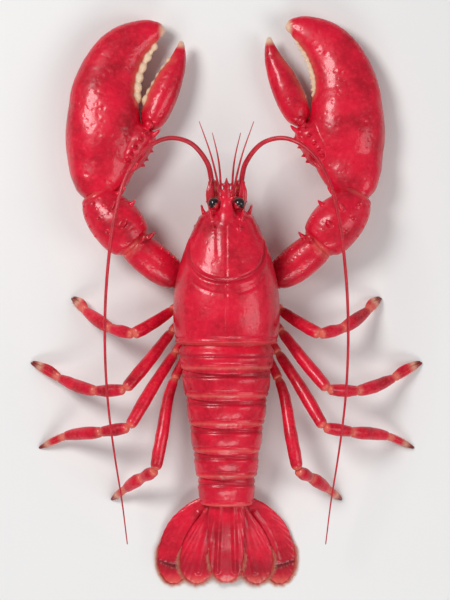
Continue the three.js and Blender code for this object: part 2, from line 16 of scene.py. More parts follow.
import bpy
import numpy as np
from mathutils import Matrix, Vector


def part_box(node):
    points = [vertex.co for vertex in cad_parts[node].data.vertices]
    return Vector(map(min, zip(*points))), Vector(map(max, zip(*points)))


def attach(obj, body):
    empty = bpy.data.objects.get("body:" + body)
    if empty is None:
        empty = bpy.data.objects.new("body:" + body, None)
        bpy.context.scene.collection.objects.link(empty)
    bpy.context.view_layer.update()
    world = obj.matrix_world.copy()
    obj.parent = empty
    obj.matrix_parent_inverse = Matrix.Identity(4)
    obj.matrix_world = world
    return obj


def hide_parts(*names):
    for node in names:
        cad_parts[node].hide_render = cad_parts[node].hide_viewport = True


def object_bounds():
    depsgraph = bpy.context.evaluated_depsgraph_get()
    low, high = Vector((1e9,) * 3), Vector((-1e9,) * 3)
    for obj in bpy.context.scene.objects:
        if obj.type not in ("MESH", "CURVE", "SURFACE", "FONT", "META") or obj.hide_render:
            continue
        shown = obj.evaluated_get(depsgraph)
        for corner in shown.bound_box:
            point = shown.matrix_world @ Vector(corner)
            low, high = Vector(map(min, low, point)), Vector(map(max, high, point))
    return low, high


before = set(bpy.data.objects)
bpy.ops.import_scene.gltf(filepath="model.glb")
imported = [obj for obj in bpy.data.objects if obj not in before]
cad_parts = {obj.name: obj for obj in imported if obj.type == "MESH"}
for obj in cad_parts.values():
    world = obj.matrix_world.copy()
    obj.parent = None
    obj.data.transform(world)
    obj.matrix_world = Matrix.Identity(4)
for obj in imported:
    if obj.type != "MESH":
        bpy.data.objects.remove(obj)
cad_low, cad_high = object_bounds()
print("frame:", len(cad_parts), "plates,", [round(b - a, 3) for a, b in zip(cad_low, cad_high)], "m")

# %% [markdown]
# ## Sizes that drive the rest
#
# All sizes in this lesson are millimetres on the animal itself: X to its right, Y towards its head with
# zero at the rear edge of the back shield, Z up from the floor. Only when a mesh is made are they turned
# into metres. The eye is a ball whose place is known in both systems, so it ties the two together.

# %% Driving sizes and the way into the frame
MM = 0.001
BODY_LENGTH = 403
SHELL_LENGTH = 0.347 * BODY_LENGTH
SHELL_HALF_WIDTH = 0.132 * BODY_LENGTH
SHELL_TOP = 101  # the highest place of the back
SHELL_HEM = 24  # the lowest edge of the shield's sides
ROSTRUM_LENGTH = 0.072 * BODY_LENGTH
TAIL_LENGTH = 0.385 * BODY_LENGTH
TAIL_HALF_WIDTH = (48.5, 26.5)  # at the shield and at the fan
FAN_LENGTH = 83
FAN_HALF_WIDTH = 69.5
CLAW_LENGTH = 176
CLAW_WIDTH = 84
CRUSHER_THICKNESS = 54
CUTTER_THICKNESS = 46
EYE_RADIUS = 5.75
SETTLE = 0.9  # how deep the claws and the fan are pressed into the floor, before they are flattened there

EYE_CENTRE = np.array([12.5, SHELL_LENGTH + 3, 75.5])
eye_low, eye_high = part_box("eye_right")
ORIGIN = (np.array(eye_low) + np.array(eye_high)) / 2 - EYE_CENTRE * MM
print("the shield's rear edge lies", round(ORIGIN[1] / MM, 1), "mm from the middle of the box")

# %% [markdown]
# ## Smooth lines and swept skins
#
# A limb is a tube whose width and height change along a bent line. Two smooth curves describe it: one
# through the places of its middle, one through its sizes. A Catmull-Rom curve passes through all its
# points, so the places can be chosen by hand. A Blender curve with a bevel could do the bending, but not
# a section that is flat below and arched above, so the skin is worked out ring by ring in numpy.

# %% A smooth curve
def spline(points, share):
    """Places on a smooth line through the points. Share runs from 0 at the first to 1 at the last."""
    points = np.array(points, float)
    spans = len(points) - 1
    at = np.clip(share, 0, 1) * spans
    i = np.minimum(at.astype(int), spans - 1)
    w = (at - i)[:, None]
    reach = np.vstack([2 * points[0] - points[1], points, 2 * points[-1] - points[-2]])
    before, here, there, after = reach[i], reach[i + 1], reach[i + 2], reach[i + 3]
    out, into = (there - before) / 2, (after - here) / 2
    bend = 3 * (there - here) - 2 * out - into + w * (2 * (here - there) + out + into)
    return here + w * (out + w * bend)


def unit(vectors):
    return vectors / np.linalg.norm(vectors, axis=-1, keepdims=True)


print("halfway along a test line:", spline([(0, 0, 0), (0, 10, 0), (0, 20, 8)], np.array([0.5]))[0])

# %% Faces of a tube, the way along a line and the sizes on it
UP = np.array([0.0, 0.0, 1.0])
ACROSS = np.array([1.0, 0.0, 0.0])
STEP = 1e-4  # share of the line over which its direction is measured


def tube(sides, rings):
    """The faces of a closed skin: a pole, rings - 1 rings of points and a pole."""
    ring = lambda i: 1 + (i - 1) * sides
    last = ring(rings)
    faces = [(0, ring(1) + j, ring(1) + (j + 1) % sides) for j in range(sides)]
    for i in range(1, rings - 1):
        a, b = ring(i), ring(i + 1)
        faces += [(a + j, b + j, b + (j + 1) % sides, a + (j + 1) % sides) for j in range(sides)]
    a = ring(rings - 1)
    return faces + [(a + j, last, a + (j + 1) % sides) for j in range(sides)]


def line_frame(places, share, over=UP):
    """Places on a smooth line, the way along it, to its right and upwards from it."""
    ahead = spline(places, np.minimum(share + STEP, 1))
    behind = spline(places, np.maximum(share - STEP, 0))
    along = unit(ahead - behind)
    right = unit(np.cross(along, over))
    return spline(places, share), along, right, np.cross(right, along)


def sizes_at(sizes, share):
    """Half width, height and depth at the shares. A size of two numbers has the same height and depth."""
    return spline([(size[0], size[1], size[-1]) for size in sizes], share).T


print("a tube of 40 sides and 48 rings has", len(tube(40, 48)), "faces")

# %% The sweep
def sweep(places, sizes, sides=40, rings=48, power=2.0, low=None, head=0.1, tail=0.1, over=UP, span=(0, 1)):
    """Each size is (half width, height above the line, depth below it).

    Power sets how square the section is above the line, and low below it. Head and tail are the shares
    of the length over which the ends are rounded, and span is the stretch of the line that is used.
    """
    even = np.linspace(0, 1, rings + 1)
    local = 0.5 * even + 0.25 * (1 - np.cos(np.pi * even))
    share = span[0] + (span[1] - span[0]) * local
    centre, _, right, top = line_frame(places, share, over)
    wide, up, down = sizes_at(sizes, share)
    ends = [np.clip(local / head, 0, 1), np.clip((1 - local) / tail, 0, 1)]
    round_off = np.prod([np.sqrt(1 - (1 - end) ** 2) for end in ends], axis=0)[:, None]
    angle = 2 * np.pi * np.arange(sides) / sides
    reach, rise = np.cos(angle), np.sin(angle)
    curve = 2 / np.where(rise > 0, power, low or power)
    tall = np.where(rise > 0, up[:, None], down[:, None])
    sideways = np.sign(reach) * np.abs(reach) ** curve * wide[:, None] * round_off
    upward = np.sign(rise) * np.abs(rise) ** curve * tall * round_off
    skin = centre[:, None] + right[:, None] * sideways[..., None] + top[:, None] * upward[..., None]
    points = np.vstack([centre[:1], skin[1:-1].reshape(-1, 3), centre[-1:]])
    return points, tube(sides, rings)


print("a test skin has", len(sweep([(0, 0, 0), (0, 10, 0)], [(3, 3), (2, 2)])[0]), "points")

# %% Balls and hooked thorns
def ball(centre, radii, sides=24, rings=14):
    turn = np.linspace(0, np.pi, rings + 1)[1:-1, None]
    angle = 2 * np.pi * np.arange(sides) / sides
    around = [np.sin(turn) * np.cos(angle), np.sin(turn) * np.sin(angle)]
    ring = np.stack([*around, np.cos(turn) + 0 * angle], -1)
    points = np.vstack([[[0, 0, 1]], ring.reshape(-1, 3), [[0, 0, -1]]])
    return points * radii + centre, tube(sides, rings)


def thorn(root, tip, radius, curl=0.12, sides=14, rings=12):
    """A hooked cone: it leaves its root straight and leans over towards the head at the tip."""
    root, tip = np.array(root, float), np.array(tip, float)
    reach = tip - root
    bow = unit(np.cross(np.cross(reach, [0, 1, 0.3]), reach)) * np.linalg.norm(reach) * curl
    places = [root, root + 0.4 * reach - 0.6 * bow, root + 0.75 * reach - 0.5 * bow, tip]
    sizes = [(thick, thick) for thick in (radius, 0.72 * radius, 0.4 * radius, 0.1)]
    return sweep(places, sizes, sides, rings, head=0.08, tail=0.03, over=np.array([0.2, 0.1, 1.0]))


def thorn_row(places, sizes, first, last, count, length, radius, lean=0.3, over=UP):
    """Root, tip and radius of thorns in a row on a swept skin.

    First and last are (share of the line, degrees round it), and lean tips the thorns along the line.
    """
    share = np.linspace(first[0], last[0], count)
    turn = np.radians(np.linspace(first[1], last[1], count))
    centre, along, right, top = line_frame(places, share, over)
    wide, up, down = sizes_at(sizes, share)
    side, rise = np.cos(turn)[:, None], np.sin(turn)[:, None]
    wide, up = wide[:, None], np.where(rise[:, 0] > 0, up, down)[:, None]
    foot = centre + right * side * wide + top * rise * up
    out = unit(right * side / wide + top * rise / up)
    tips = foot + length * unit(out + lean * along)
    return [(foot[i] - 0.5 * radius * out[i], tips[i], radius) for i in range(count)]


print("a test thorn has", len(thorn((0, 0, 0), (0, 3, 5), 2)[1]), "faces")

# %% [markdown]
# ## From points to a piece
#
# A plate with thorns and teeth starts as several closed skins that run into each other. A voxel remesh
# turns them into one even skin, as clay is pressed together, and a little smoothing rounds the seams the
# way shell grows over them. A hollow, such as the socket of the eye, is cut by a boolean before a second
# remesh, so its edge comes out soft as well. A limb whose pieces only meet at a joint needs none of this.

# %% Skins become an object in the frame
def to_frame(points):
    return np.asarray(points) * MM + ORIGIN


def new_object(name, skins):
    """One object from several skins, each of which is its points and its faces."""
    points, faces, base = [], [], 0
    for skin_points, skin_faces in skins:
        points.append(skin_points)
        faces += [tuple(base + i for i in face) for face in skin_faces]
        base += len(skin_points)
    mesh = bpy.data.meshes.new(name + "_form")
    mesh.from_pydata(to_frame(np.vstack(points)).tolist(), [], faces)
    piece = bpy.data.objects.new(name + "_form", mesh)
    bpy.context.scene.collection.objects.link(piece)
    return piece


print("the right eye's middle lies at", to_frame(EYE_CENTRE).round(4), "m")

# %% Pressing skins into one mesh
def bake(piece):
    """Puts the result of the piece's modifiers in its mesh and takes them off."""
    graph = bpy.context.evaluated_depsgraph_get()
    old = piece.data
    piece.data = bpy.data.meshes.new_from_object(piece.evaluated_get(graph), depsgraph=graph)
    piece.data.name = piece.name
    piece.modifiers.clear()
    bpy.data.meshes.remove(old)
    return piece


def press(name, skins, voxel, hollows=(), smooth=4):
    """One even mesh from skins that run into each other, with hollows cut out of it. Voxel is in mm."""
    piece = new_object(name, skins)

    def remesh():
        modifier = piece.modifiers.new("even skin", "REMESH")
        modifier.mode = "VOXEL"
        modifier.voxel_size = voxel * MM

    remesh()
    cutter = new_object("cutter", hollows) if hollows else None
    if cutter:
        hollow = piece.modifiers.new("hollow", "BOOLEAN")
        hollow.operation, hollow.solver, hollow.object = "DIFFERENCE", "MANIFOLD", cutter
        remesh()
    soften = piece.modifiers.new("soften", "SMOOTH")
    soften.factor, soften.iterations = 0.5, smooth
    bake(piece)
    if cutter:
        bpy.data.objects.remove(cutter)
    return piece


print("pressing: remesh, hollows, remesh again, smooth")

# %% [markdown]
# ## Working the surface
#
# Grooves, rims and pits move the points of a finished mesh along its normals. A groove is a soft furrow
# round a line on the surface: the closer a point is to the line, the deeper it goes. Pits and lumps come
# from a scatter of spots, one in each small cube of space, and slow swells from a noise that is blended
# between the corners of such cubes. Both repeat exactly, because their randomness is worked out from the
# cube's own place.

# %% Soft steps and distances
def dent(distance, width):
    """1 on the line, falling away softly on both sides of it."""
    return np.exp(-((distance / width) ** 2))


def ramp(value, low, high):
    """0 below low, 1 above high and a smooth step between them."""
    share = np.clip((value - low) / (high - low), 0, 1)
    return share * share * (3 - 2 * share)


def far(points, centre):
    return np.linalg.norm(points - np.array(centre), axis=1)


def near(points, path):
    """Distance from each point to the nearest place on a path of straight stretches."""
    path = np.array(path, float)
    best = np.full(len(points), 1e9)
    for start, end in zip(path[:-1], path[1:]):
        reach = end - start
        share = np.clip((points - start) @ reach / (reach @ reach), 0, 1)
        best = np.minimum(best, np.linalg.norm(points - start - share[:, None] * reach, axis=1))
    return best


def near_from_above(points, path):
    """The same, as seen from straight above, with all heights left out."""
    return near(points * (1, 1, 0), np.array(path) * (1, 1, 0))


def to_tips(points, thorns):
    """Distance from each point to the nearest tip of the thorns, each (root, tip, radius)."""
    if not thorns:
        return np.full(len(points), 99.0)
    return np.min([far(points, tip) for _, tip, _ in thorns], axis=0)


def downward(normals, low, high):
    """How much the surface faces the floor, from 0 to 1."""
    return ramp(-normals[:, 2], low, high)


print("1 mm beside its line, a groove of width 2 has", round(float(dent(1.0, 2.0)), 2), "of its depth")

# %% Spots and slow swells
MIX = np.array([[12.9898, 39.346, 73.156], [78.233, 11.135, 52.235], [37.719, 83.155, 9.151]])


def shuffle(cell, seed):
    """Three numbers from 0 to 1 for each cube, which look random and are always the same."""
    mixed = np.sin(cell @ MIX + seed) * 4375.85
    return mixed - np.floor(mixed)


def spots(points, size, seed=1):
    """Distance from each point to the nearest spot, as a share of the cube's side."""
    at = points / size
    cell = np.floor(at)
    best = np.full(len(points), 9.0)
    for step in itertools.product((-1, 0, 1), repeat=3):
        cube = cell + step
        best = np.minimum(best, np.linalg.norm(at - cube - shuffle(cube, seed), axis=1))
    return best


def pits(points, size, depth, seed=2):
    return -depth * (1 - ramp(spots(points, size, seed), 0.1, 0.34))


def swell(points, size, seed=1):
    """A slow wave from -1 to 1 that changes over about the size of a cube."""
    at = points / size
    cell = np.floor(at)
    w = at - cell
    w = w * w * (3 - 2 * w)
    total = 0
    for step in itertools.product((0, 1), repeat=3):
        share = np.prod(np.where(np.array(step) == 1, w, 1 - w), axis=1)
        total = total + share * shuffle(cell + step, seed)[:, 0]
    return 2 * total - 1


print("a swell at two places 5 mm apart:", swell(np.array([[0.0, 0, 0], [5.0, 0, 0]]), 14).round(2))

# %% Reading and moving the points of a mesh
FLOOR_GAP = 0.02  # how far above the floor a piece ends that stands on it


def read(piece):
    """Places and normals of a mesh's points, in millimetres on the animal."""
    count = len(piece.data.vertices)
    points, normals = np.empty(3 * count), np.empty(3 * count)
    piece.data.vertices.foreach_get("co", points)
    piece.data.vertices.foreach_get("normal", normals)
    return (points.reshape(-1, 3) - ORIGIN) / MM, normals.reshape(-1, 3)


def write(piece, points):
    piece.data.vertices.foreach_set("co", to_frame(points).ravel())
    piece.data.update()


def work(piece, relief):
    """Moves each point along its normal by relief(points, normals), in millimetres."""
    points, normals = read(piece)
    write(piece, points + normals * relief(points, normals)[:, None])


def stand(piece):
    """Presses what would sink into the floor flat against it."""
    points, _ = read(piece)
    points[:, 2] = np.maximum(points[:, 2], FLOOR_GAP)
    write(piece, points)


print("what stands on the floor keeps", FLOOR_GAP, "mm above it")

# %% [markdown]
# ## Paint masks
#
# A boiled or red lobster isn't one flat red. The shell is paler along its free edges, at the joints and
# underneath, the biting teeth are bone-coloured, and tips are darker. Deep grooves and the hollow round
# each eye are darkened as well, which is painted shade. These places follow the shape, so they are stored
# on the points as an attribute called paint: red for pale, green for bone, blue for dark tips and painted
# shade. The materials read it and add their own fine pattern.

# %% Paint
def paint(piece, pale=0.0, bone=0.0, dark=0.0):
    count = len(piece.data.vertices)
    layer = piece.data.attributes.new("paint", "FLOAT_COLOR", "POINT")
    values = np.ones((count, 4), np.float32)
    for channel, mask in enumerate((pale, bone, dark)):
        values[:, channel] = np.clip(mask, 0, 1)
    layer.data.foreach_set("color", values.ravel())


print("paint channels: red pale, green bone, blue dark")

# %% The last step of each piece
made = []


def node_of(piece):
    return piece.name.removesuffix("_form")


def settle(piece, material, slot, *nodes):
    """Smooth shading, material, body and the plain solids that the piece stands for, which are hidden. Slot
    is not used.
    """
    piece.data.shade_smooth()
    piece.data.materials.clear()
    piece.data.materials.append(material)
    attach(piece, "root")
    if nodes:
        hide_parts(*nodes)
    made.append(piece)
    size = [round(v / MM) for v in piece.dimensions]
    print(f"{piece.name}: {len(piece.data.polygons)} faces, {size} mm")


def mirrored(piece, name):
    """A copy for the animal's left side. The mirror turns it inside out, so its faces are turned back."""
    copy = bpy.data.objects.new(name, piece.data.copy())
    copy.data.name = name
    bpy.context.scene.collection.objects.link(copy)
    points, _ = read(copy)
    write(copy, points * (-1, 1, 1))
    copy.data.flip_normals()
    return copy


def settle_pair(piece, material, slot):
    """The right piece and its mirrored copy, each in the place of the plain solid of its own side."""
    left = mirrored(piece, piece.name.replace("_right_", "_left_"))
    for side in (piece, left):
        settle(side, material, slot, node_of(side))


print("pieces settled so far:", len(made))

# %% [markdown]
# ## The finish of the shell
#
# Shell is hard and wet-looking: a coloured layer under a clear, smooth one, which is what the coat of the
# Principled shader is for. Under it the red isn't even. Broad clouds go from maroon to crimson, finer
# clouds lighten it, and freckles darker than a pinhead gather in some places and leave others clean. Fine
# pits break the highlights, through bump alone, as they are too small to model. One function makes every
# shell material, so the plates, limbs, feelers and belly differ only in the values given to it.

# %% Helpers for node trees
def add_node(tree, kind, inputs=None, **settings):
    """Adds a node. An input that is another node's socket is linked, any other is set."""
    new = tree.nodes.new(kind)
    for key, value in settings.items():
        setattr(new, key, value)
    for key, value in (inputs or {}).items():
        if isinstance(value, bpy.types.NodeSocket):
            tree.links.new(value, new.inputs[key])
        else:
            new.inputs[key].default_value = value
    return new


def new_material(name):
    material = bpy.data.materials.new(name)
    material.use_nodes = True
    tree = material.node_tree
    tree.nodes.clear()
    return material, tree


def object_place(tree):
    return add_node(tree, "ShaderNodeTexCoord").outputs["Object"]


def noise(tree, place, scale, detail=2.0, roughness=0.5):
    inputs = {"Vector": place, "Scale": scale, "Detail": detail, "Roughness": roughness}
    return add_node(tree, "ShaderNodeTexNoise", inputs).outputs["Fac"]


def from_dots(tree, place, scale):
    """Distance to the nearest of many scattered dots."""
    return add_node(tree, "ShaderNodeTexVoronoi", {"Vector": place, "Scale": scale}).outputs["Distance"]


def blend_colour(tree, share, first, second):
    mix = add_node(tree, "ShaderNodeMix", {0: share, 6: first, 7: second}, data_type="RGBA")
    return mix.outputs[2]


print("helpers for materials, noise, dots and blends")

# %% Helpers for ranges, products, bump and the shader
def shade_range(tree, value, low, high, to_low=0.0, to_high=1.0):
    inputs = {"Value": value, "From Min": low, "From Max": high, "To Min": to_low, "To Max": to_high}
    return add_node(tree, "ShaderNodeMapRange", inputs).outputs["Result"]


def times(tree, first, second):
    return add_node(tree, "ShaderNodeMath", {0: first, 1: second}, operation="MULTIPLY").outputs[0]


def bump(tree, height, strength, depth):
    inputs = {"Height": height, "Strength": strength, "Distance": depth}
    return add_node(tree, "ShaderNodeBump", inputs).outputs["Normal"]


def surface(tree, inputs):
    """Ends the tree in a Principled shader with these inputs."""
    shader = add_node(tree, "ShaderNodeBsdfPrincipled", inputs)
    add_node(tree, "ShaderNodeOutputMaterial", {"Surface": shader.outputs[0]})


print("helpers for ranges, products, bump and the shader")

# %% The shell material
PALE = (0.78, 0.19, 0.13, 1)
BONE = (0.80, 0.62, 0.42, 1)
# the dark tint colours the dark tips, and the painted shade in grooves and hollows
DARK_TIPS_AND_SHADE = (0.09, 0.006, 0.008, 1)
GRAIN_SCALE = 1700
FRECKLE_SCALE, FRECKLE_PATCH_SCALE = 430, 70
PIT_SCALE, PIT_DEPTH = 620, 0.0003


def shell_material(name, deep, body, light, cloud=24, freckle=0.5, pit=0.3, gloss=(0.24, 0.42), coat=0.4):
    """Cloud is the scale of the broad clouds, freckle and pit are strengths, gloss the range of roughness."""
    material, tree = new_material(name)
    place = object_place(tree)
    broad = noise(tree, place, cloud, 4.0, 0.6)
    fine = noise(tree, place, 9 * cloud, 4.0, 0.6)
    grain = noise(tree, place, GRAIN_SCALE, 2.0, 0.6)
    colour = blend_colour(tree, shade_range(tree, broad, 0.32, 0.56), deep, body)
    colour = blend_colour(tree, shade_range(tree, fine, 0.5, 0.78, 0, 0.65), colour, light)
    freckles = shade_range(tree, from_dots(tree, place, FRECKLE_SCALE), 0.34, 0.12)
    where = shade_range(tree, noise(tree, place, FRECKLE_PATCH_SCALE, 2.0, 0.6), 0.45, 0.62, 0, freckle)
    colour = blend_colour(tree, times(tree, freckles, where), colour, deep)
    mask = add_node(tree, "ShaderNodeAttribute", attribute_name="paint").outputs["Color"]
    masks = add_node(tree, "ShaderNodeSeparateColor", {"Color": mask}).outputs
    ragged = shade_range(tree, fine, 0.2, 0.8, 0.75, 1.25)
    for channel, tint in enumerate((PALE, BONE, DARK_TIPS_AND_SHADE)):
        colour = blend_colour(tree, times(tree, masks[channel], ragged), colour, tint)
    smooth_between = shade_range(tree, from_dots(tree, place, PIT_SCALE), 0.05, 0.3)
    height = add_node(tree, "ShaderNodeMath", {0: smooth_between, 1: grain}, operation="ADD").outputs[0]
    surface(tree, {
        "Base Color": colour,
        "Roughness": shade_range(tree, fine, 0.3, 0.7, *gloss),
        "Specular IOR Level": 0.25,
        "Coat Weight": coat,
        "Coat Roughness": 0.17,
        "Normal": bump(tree, height, pit, PIT_DEPTH),
    })
    return material


print("freckles about", round(1000 / FRECKLE_SCALE, 1), "mm apart, pits", round(1000 / PIT_SCALE, 1), "mm")

# %% Four shell materials
MAROON = (0.38, 0.003, 0.014, 1)
CRIMSON = (0.70, 0.005, 0.032, 1)
SCARLET = (0.86, 0.02, 0.045, 1)
shell_red = shell_material("crimson_shell", MAROON, CRIMSON, SCARLET)
limb_red = shell_material(
    "crimson_limb", MAROON, CRIMSON, (0.86, 0.06, 0.05, 1), cloud=40, freckle=0.6, pit=0.25
)
feeler_red = shell_material(
    "crimson_feeler", MAROON, (0.55, 0.008, 0.028, 1), (0.74, 0.06, 0.05, 1),
    cloud=60, freckle=0.3, pit=0.2, gloss=(0.35, 0.5),
)
belly_coral = shell_material(
    "coral_belly", (0.55, 0.045, 0.045, 1), (0.76, 0.17, 0.11, 1), (0.88, 0.38, 0.25, 1),
    cloud=30, freckle=0.25, pit=0.25, gloss=(0.35, 0.55), coat=0.25,
)
print("shell materials:", [m.name for m in (shell_red, limb_red, feeler_red, belly_coral)])

# %% [markdown]
# ## Eye and bristle
#
# The eye is a wet black dome of thousands of tiny facets, so it is nearly black with a clear coat, and
# the facets are a very fine bump. Bristles are thin horn: straw-coloured at the tip and redder at the
# root. Their colour runs along each hair by an attribute that is stored when the hairs are made.

# %% Eye and bristle materials
EYE_BLACK, EYE_BROWN = (0.004, 0.003, 0.003, 1), (0.03, 0.012, 0.01, 1)
FACET_SCALE, FACET_DEPTH = 3200, 0.0001


def eye_material():
    material, tree = new_material("black_eye")
    place = object_place(tree)
    cloud = shade_range(tree, noise(tree, place, 260), 0.35, 0.7)
    surface(tree, {
        "Base Color": blend_colour(tree, cloud, EYE_BLACK, EYE_BROWN),
        "Roughness": 0.2,
        "Specular IOR Level": 0.3,
        "Coat Weight": 0.7,
        "Coat Roughness": 0.03,
        "Normal": bump(tree, from_dots(tree, place, FACET_SCALE), 0.12, FACET_DEPTH),
    })
    return material


ROOT_RED, ROOT_RUST, TIP_STRAW = (0.62, 0.03, 0.03, 1), (0.76, 0.13, 0.08, 1), (0.88, 0.50, 0.34, 1)


def bristle_material():
    material, tree = new_material("bristle_horn")
    cloud = shade_range(tree, noise(tree, object_place(tree), 300), 0.3, 0.7)
    rise = add_node(tree, "ShaderNodeAttribute", attribute_name="rise").outputs["Fac"]
    root = blend_colour(tree, cloud, ROOT_RED, ROOT_RUST)
    colour = blend_colour(tree, shade_range(tree, rise, 0.2, 1.0), root, TIP_STRAW)
    surface(tree, {"Base Color": colour, "Roughness": 0.45})
    return material


eye_black, bristle_horn = eye_material(), bristle_material()
print("eye and bristle materials made")

# %% [markdown]
# ## The back shield
#
# The carapace is a long arched shield. Seven stations from its rear edge to the eye sockets give its
# width, its highest and lowest edge. A U-shaped furrow crosses it behind the head, a fine line runs down
# the middle of the back, and a rim strengthens the rear edge. In front it runs out into the rostrum, a
# beak with paired thorns, between two sockets for the eyes. Below, its free hem hangs over the roots of
# the legs, so everything inside that hem is set back a little.

# %% Stations of the shield
SHELL_POWER = 2.15  # how square its section is above, against 2 for an oval
SHELL_STATIONS = [
    # half width, middle height, top and hem, as shares of the driving sizes
    (0.94, 0.55, 0.95, 0.86),
    (0.99, 0.55, 0.99, 0.84),
    (0.99, 0.56, 1.0, 0.83),
    (0.93, 0.58, 0.99, 0.98),
    (0.81, 0.61, 0.96, 1.45),
    (0.63, 0.62, 0.91, 1.75),
    (0.4, 0.63, 0.82, 1.95),
]
shell_places = [(0, SHELL_LENGTH * i / 6, s[1] * SHELL_TOP) for i, s in enumerate(SHELL_STATIONS)]
shell_sizes = [
    (wide * SHELL_HALF_WIDTH, (top - middle) * SHELL_TOP, middle * SHELL_TOP - hem * SHELL_HEM)
    for wide, middle, top, hem in SHELL_STATIONS
]
shell_skin = sweep(shell_places, shell_sizes, 110, 120, SHELL_POWER, 2.6, 0.04, 0.09)
print("shield:", len(SHELL_STATIONS), "stations over", round(SHELL_LENGTH), "mm")

# %% Beak, thorns and sockets of the shield
def both(point):
    return [point, (-point[0], *point[1:])]


BEAK_LINE = [(-40, 88), (-12, 85), (0, 82), (15, 83.5), (ROSTRUM_LENGTH, 88)]  # ahead of the sockets, height
rostrum = sweep(
    [(0, SHELL_LENGTH + ahead, height) for ahead, height in BEAK_LINE],
    [(9, 4, 7), (9, 5, 7), (6.2, 4.2, 4.2), (4.0, 3.2, 3.2), (0.8, 0.8)],
    sides=32, rings=48, head=0.3, tail=0.04,
)
SHIELD_THORNS = [
    # root, tip and radius on the right side
    ((2.6, SHELL_LENGTH + 5, 83), (8.0, SHELL_LENGTH + 12, 87), 2.2),
    ((2.4, SHELL_LENGTH + 12, 83.6), (7.2, SHELL_LENGTH + 19, 87.5), 2.0),
    ((1.6, SHELL_LENGTH + 19, 84.6), (6.3, SHELL_LENGTH + 26, 88), 1.8),
    ((14.5, SHELL_LENGTH - 13, 83), (16.5, SHELL_LENGTH - 1, 89), 3.0),
    ((12.5, SHELL_LENGTH - 24, 88), (13.5, SHELL_LENGTH - 15, 93), 2.4),
    ((20, SHELL_LENGTH - 11, 64), (25, SHELL_LENGTH + 3, 66), 3.0),
    ((27, SHELL_LENGTH - 27, 62), (33, SHELL_LENGTH - 17, 63), 2.4),
]
shield_thorns = [
    thorn(root, tip, radius)
    for right_root, right_tip, radius in SHIELD_THORNS
    for root, tip in zip(both(right_root), both(right_tip))
]
SOCKET_ROOM = np.array([2.6, 3.2, 2.8])
sockets = [ball(centre, EYE_RADIUS + SOCKET_ROOM) for centre in both(tuple(EYE_CENTRE))]
print("shield:", len(shield_thorns), "thorns, beak", round(ROSTRUM_LENGTH), "mm")

# %% Furrows and margin of the shield
FURROW_PLACE = 66  # where the neck furrow crosses the middle of the back
FURROW_REACH = 34  # how far forward it runs down the cheeks


def shield_line(angles, offset=0.0):
    """A line on the shield's surface, a U that runs forward down both cheeks."""
    turn = (angles - math.pi / 2) / 1.2
    y = FURROW_PLACE + offset + FURROW_REACH * turn * turn
    rows = spline(SHELL_STATIONS, y / SHELL_LENGTH)
    wide, middle, top = rows[:, 0] * SHELL_HALF_WIDTH, rows[:, 1] * SHELL_TOP, rows[:, 2] * SHELL_TOP
    bend = 2 / SHELL_POWER
    x = np.sign(np.cos(angles)) * wide * np.abs(np.cos(angles)) ** bend
    return np.stack([x, y, middle + (top - middle) * np.sin(angles) ** bend], -1)


neck_furrow = shield_line(np.linspace(0.3, math.pi - 0.3, 40))
second_furrow = shield_line(np.linspace(0.75, math.pi - 0.75, 24), offset=-13)


def before_margin(points):
    """How far a point lies in front of the shield's front margin, which bends round the cheek thorns."""
    _, y, z = points.T
    margin = y - SHELL_LENGTH + 4.5 + 0.42 * np.maximum(71 - z, 0)
    for root, tip, _ in SHIELD_THORNS[-2:]:
        margin -= 9 * (1 - ramp(near(np.abs(points), [root, tip]), 2.5, 6.5))
    return margin


print("neck furrow crosses the back at", FURROW_PLACE, "mm and ends at", round(neck_furrow[0][1]), "mm")

# %% Press the shield and work its surface
def shield_relief(points, normals):
    x, y, z = points.T
    below_sockets = ramp(z, 74, 70)
    upward = ramp(normals[:, 2], 0.1, 0.5)
    furrow = near(points, neck_furrow)
    relief = -1.9 * dent(furrow, 1.9) + 0.55 * dent(furrow - 4.2, 2.4)
    relief -= 0.6 * dent(near(points, second_furrow), 1.5)
    relief -= 0.5 * dent(x, 1.0) * upward * ramp(y, 7, 12) * (1 - ramp(y, 118, 130))
    relief -= 0.9 * dent(y - 8.5, 1.5)
    relief += 0.4 * dent(y - 4.0, 2.5)
    beside_beak = dent(np.abs(x) - 9 - 0.05 * (y - 100), 2.2) * ramp(y, 84, 96)
    relief -= 0.5 * beside_beak * upward * (y < SHELL_LENGTH)
    relief -= 2.0 * downward(normals, 0.60, 0.72) * (1 - ramp(y, 108, 124))
    relief += pits(points, 4.2, 0.18, 3)
    margin = before_margin(points)
    relief += (0.7 * dent(margin + 1.6, 1.4) - 1.3 * ramp(margin, -0.6, 1.2)) * below_sockets
    return relief + 0.25 * swell(points, 14, 5) + 0.1 * swell(points, 4, 6)


shield = press("carapace", [shell_skin, rostrum, *shield_thorns], 0.9, sockets)
work(shield, shield_relief)
points, normals = read(shield)
x, y, z = points.T
under = downward(normals, 0.35, 0.75) * (1 - ramp(y, 125, 140))
face = ramp(before_margin(points), -0.2, 1.0) * ramp(z, 73, 69)
beak_tip = ramp(y, SHELL_LENGTH + 14, SHELL_LENGTH + 28)
# The dark in the neck furrow is painted shade; the darker tip of the beak is its own colour.
paint(
    shield,
    pale=0.9 * under + 0.45 * dent(y - 1, 3.5) + 0.25 * dent(z - 30, 9) + 0.55 * face,
    dark=0.4 * dent(near(points, neck_furrow), 2.2) + 0.35 * beak_tip,
)
settle(shield, shell_red, "shell", "carapace")

# %% [markdown]
# ## Eyes and their stalks
#
# Each eye is a wet black dome on a short stalk in the socket beside the beak. The stalk ends in a cup of
# shell that holds the dome, so the cup is a slightly larger ball set back along the stalk, with the dome's
# own room cut out of it. The dome is a plain ball, since nothing but its gloss shows.

# %% Eyes
dome = new_object("eye_right", [ball(EYE_CENTRE, EYE_RADIUS, 64, 40)])
settle_pair(dome, eye_black, "eye")

